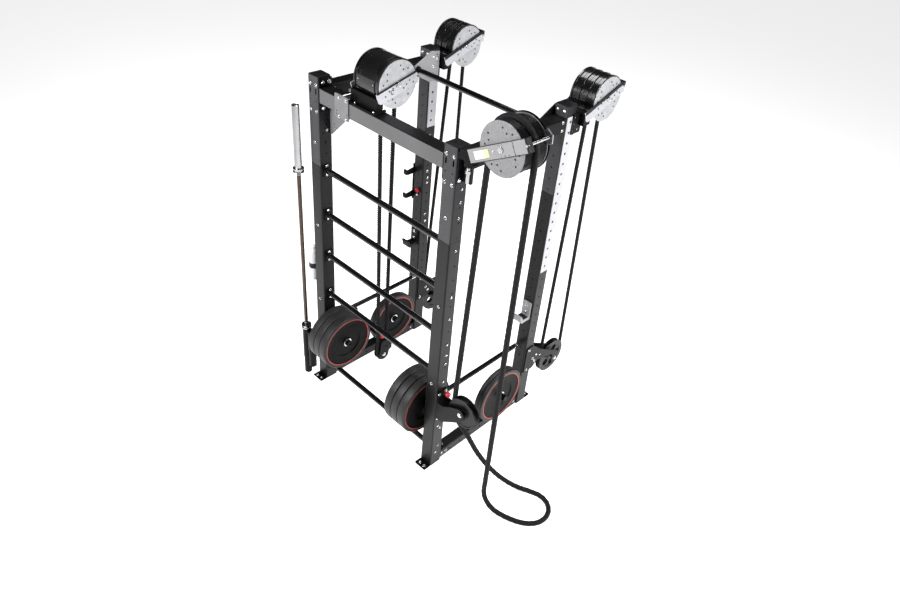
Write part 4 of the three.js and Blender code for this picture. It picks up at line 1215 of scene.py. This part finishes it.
def make_bar_holder():
    """Two tubes on one bracket: the one that the barbell stands in, and a shorter spare one."""
    part = Part("bar_tubes").paint(paint)
    top = span("bar_holder")[1].z
    for x, foot in ((BAR_X, 80), (SPARE_X, 180)):
        at, waist = (x, BAR_Y, 0), foot + 150
        part.turn([(27.5, foot), (28.6, foot), (28.6, waist), (31, waist + 2), (31, top - 1), (30, top),
                   (27.5, top)], "z", at, 48)
        part.ring(31.05, 34.5, 508, 524, "z", at, 48)
        part.block((x - 10, x + 10), (BAR_Y + 29.5, -11.5), (310, 410))
    part.rod(28, 76, 84.7, "z", (BAR_X, BAR_Y, 0), 40)
    part.sheet(rounded(BAR_X - 15, SPARE_X + 15, 300, 420, 6), "y", -12, -GAP)
    part.bolts("-y", -12, [(x, z) for x in (25, 75) for z in (316, 404)], 7)
    part.finish("bar_holder")


def make_bottle():
    low, high = span("bottle_ring")
    at, y = (BOTTLE_X, BOTTLE_Y, 0), BOTTLE_Y - 14
    part = Part("bottle_cage").paint(black_plastic)
    part.ring(34.2, 38, low.z, high.z, "z", at, 48, 1.5)
    part.block((BOTTLE_X + 37, -0.4), (y, y + 28), (low.z, high.z))
    part.bolt((-12, y, (low.z + high.z) / 2), "-y", 6)
    part.finish("bottle_ring", "black_plastic")
    z0, z1 = (corner.z for corner in span("bottle"))
    seat = high.z + GAP
    part = Part("drink_bottle").paint(white)
    ribs = [(37 - (1.6 if k % 2 else 0), seat + 6 + 8 * k) for k in range(9)]
    part.turn([(0, z0 + 3), (24, z0), (30, z0), (33, z0 + 4), (33, seat), (36, seat + 0.5), *ribs,
               (37, z1 - 62), (34, z1 - 52), (18, z1 - 38), (16, z1 - 36), (16, z1 - 34), (0, z1 - 34)],
              "z", at, 48)
    part.turn([(0, z1 - 33.8), (17, z1 - 33.8), (18, z1 - 32), (18, z1 - 16), (14, z1 - 12), (8, z1 - 10),
               (8, z1 - 1), (6, z1), (0, z1)], "z", at, 40)
    part.finish("bottle", "white_plastic", "bottle", bevel=0.5)


def make_hooks():
    part = Part("rear_hooks").paint(paint)
    part.sheet(rounded(950, 1045, 1290, 1600, 6), "x", -8, -GAP, circles([(1000, 1370), (1000, 1500)], 7))
    for z in (1336, 1538):
        outline = [(954, z - 12), (880, z - 12), (864, z - 8), (854, z + 2), (852, z + 14), (852, z + 36),
                   (858, z + 40), (866, z + 38), (872, z + 26), (884, z + 19), (954, z + 30)]
        part.sheet(outline, "x", -8, 12)
    part.bolts("-x", -8, [(y, z) for y in (975, 1025) for z in (1310, 1580, 1440)], 7)
    part.finish("hook_plate")


def make_j_cups():
    for side, x in SIDES:
        low, high = span(f"j_cup_{side}")
        z, front = low.z + 5, high.y
        left, right = x + 14, x + TUBE - 14
        part = Part(f"{side}_j_cup").paint(paint if side == "left" else grey)
        outline = [(0, 140), (0, -5), (88, -5), (96, 0), (110, 52), (109, 59), (97, 60), (80, 24), (74, 21),
                   (18, 21), (12, 26), (12, 140)]
        part.sheet([(front - y, z + rise) for y, rise in outline], "x", left, right)
        part.paint(black_plastic)
        part.sheet(rounded(left + 4, right - 4, front - 72, front - 20, 3), "z", z + 21.2, z + 23.5)
        part.bolts("-y", front - 12, [(x + 50, z + 50), (x + 50, z + 110)])
        part.finish(f"j_cup_{side}", "silver_steel", f"j_cup_{side}")


def knob(name, node, way, at):
    """A round pull knob on the pin it lifts."""
    part = Part(name).paint(bolt_steel)
    part.disc(6, 0, 12, way, at)
    part.paint(red)
    part.turn([(0, 11.5), (9, 11.5), (15, 13), (18, 17), (19, 24), (19, 32), (17.5, 38), (13, 43), (6, 45.6),
               (0, 46)], way, at, 40)
    part.finish(node, "red_plastic", node)


def make_knobs():
    x, y, z = middle("pull_pin_front")
    knob("front_knob", "pull_pin_front", "z", (x, y, span("pull_pin_front")[0].z))
    x, y, z = middle("pull_pin_side")
    knob("side_knob", "pull_pin_side", "x", (span("pull_pin_side")[0].x, y, z))


def main():
    make_camera()
    make_slack_rope()
    make_tight_ropes()
    make_floor()
    make_light()
    make_front_uprights()
    make_rear_uprights()
    make_base_rails()
    make_front_beam()
    make_top_rails()
    make_cross_tubes()
    make_side_bars()
    make_pull_up_bar()
    make_units()
    make_pulleys()
    make_all_plates()
    make_barbell()
    make_bar_holder()
    make_bottle()
    make_hooks()
    make_j_cups()
    make_knobs()


main()
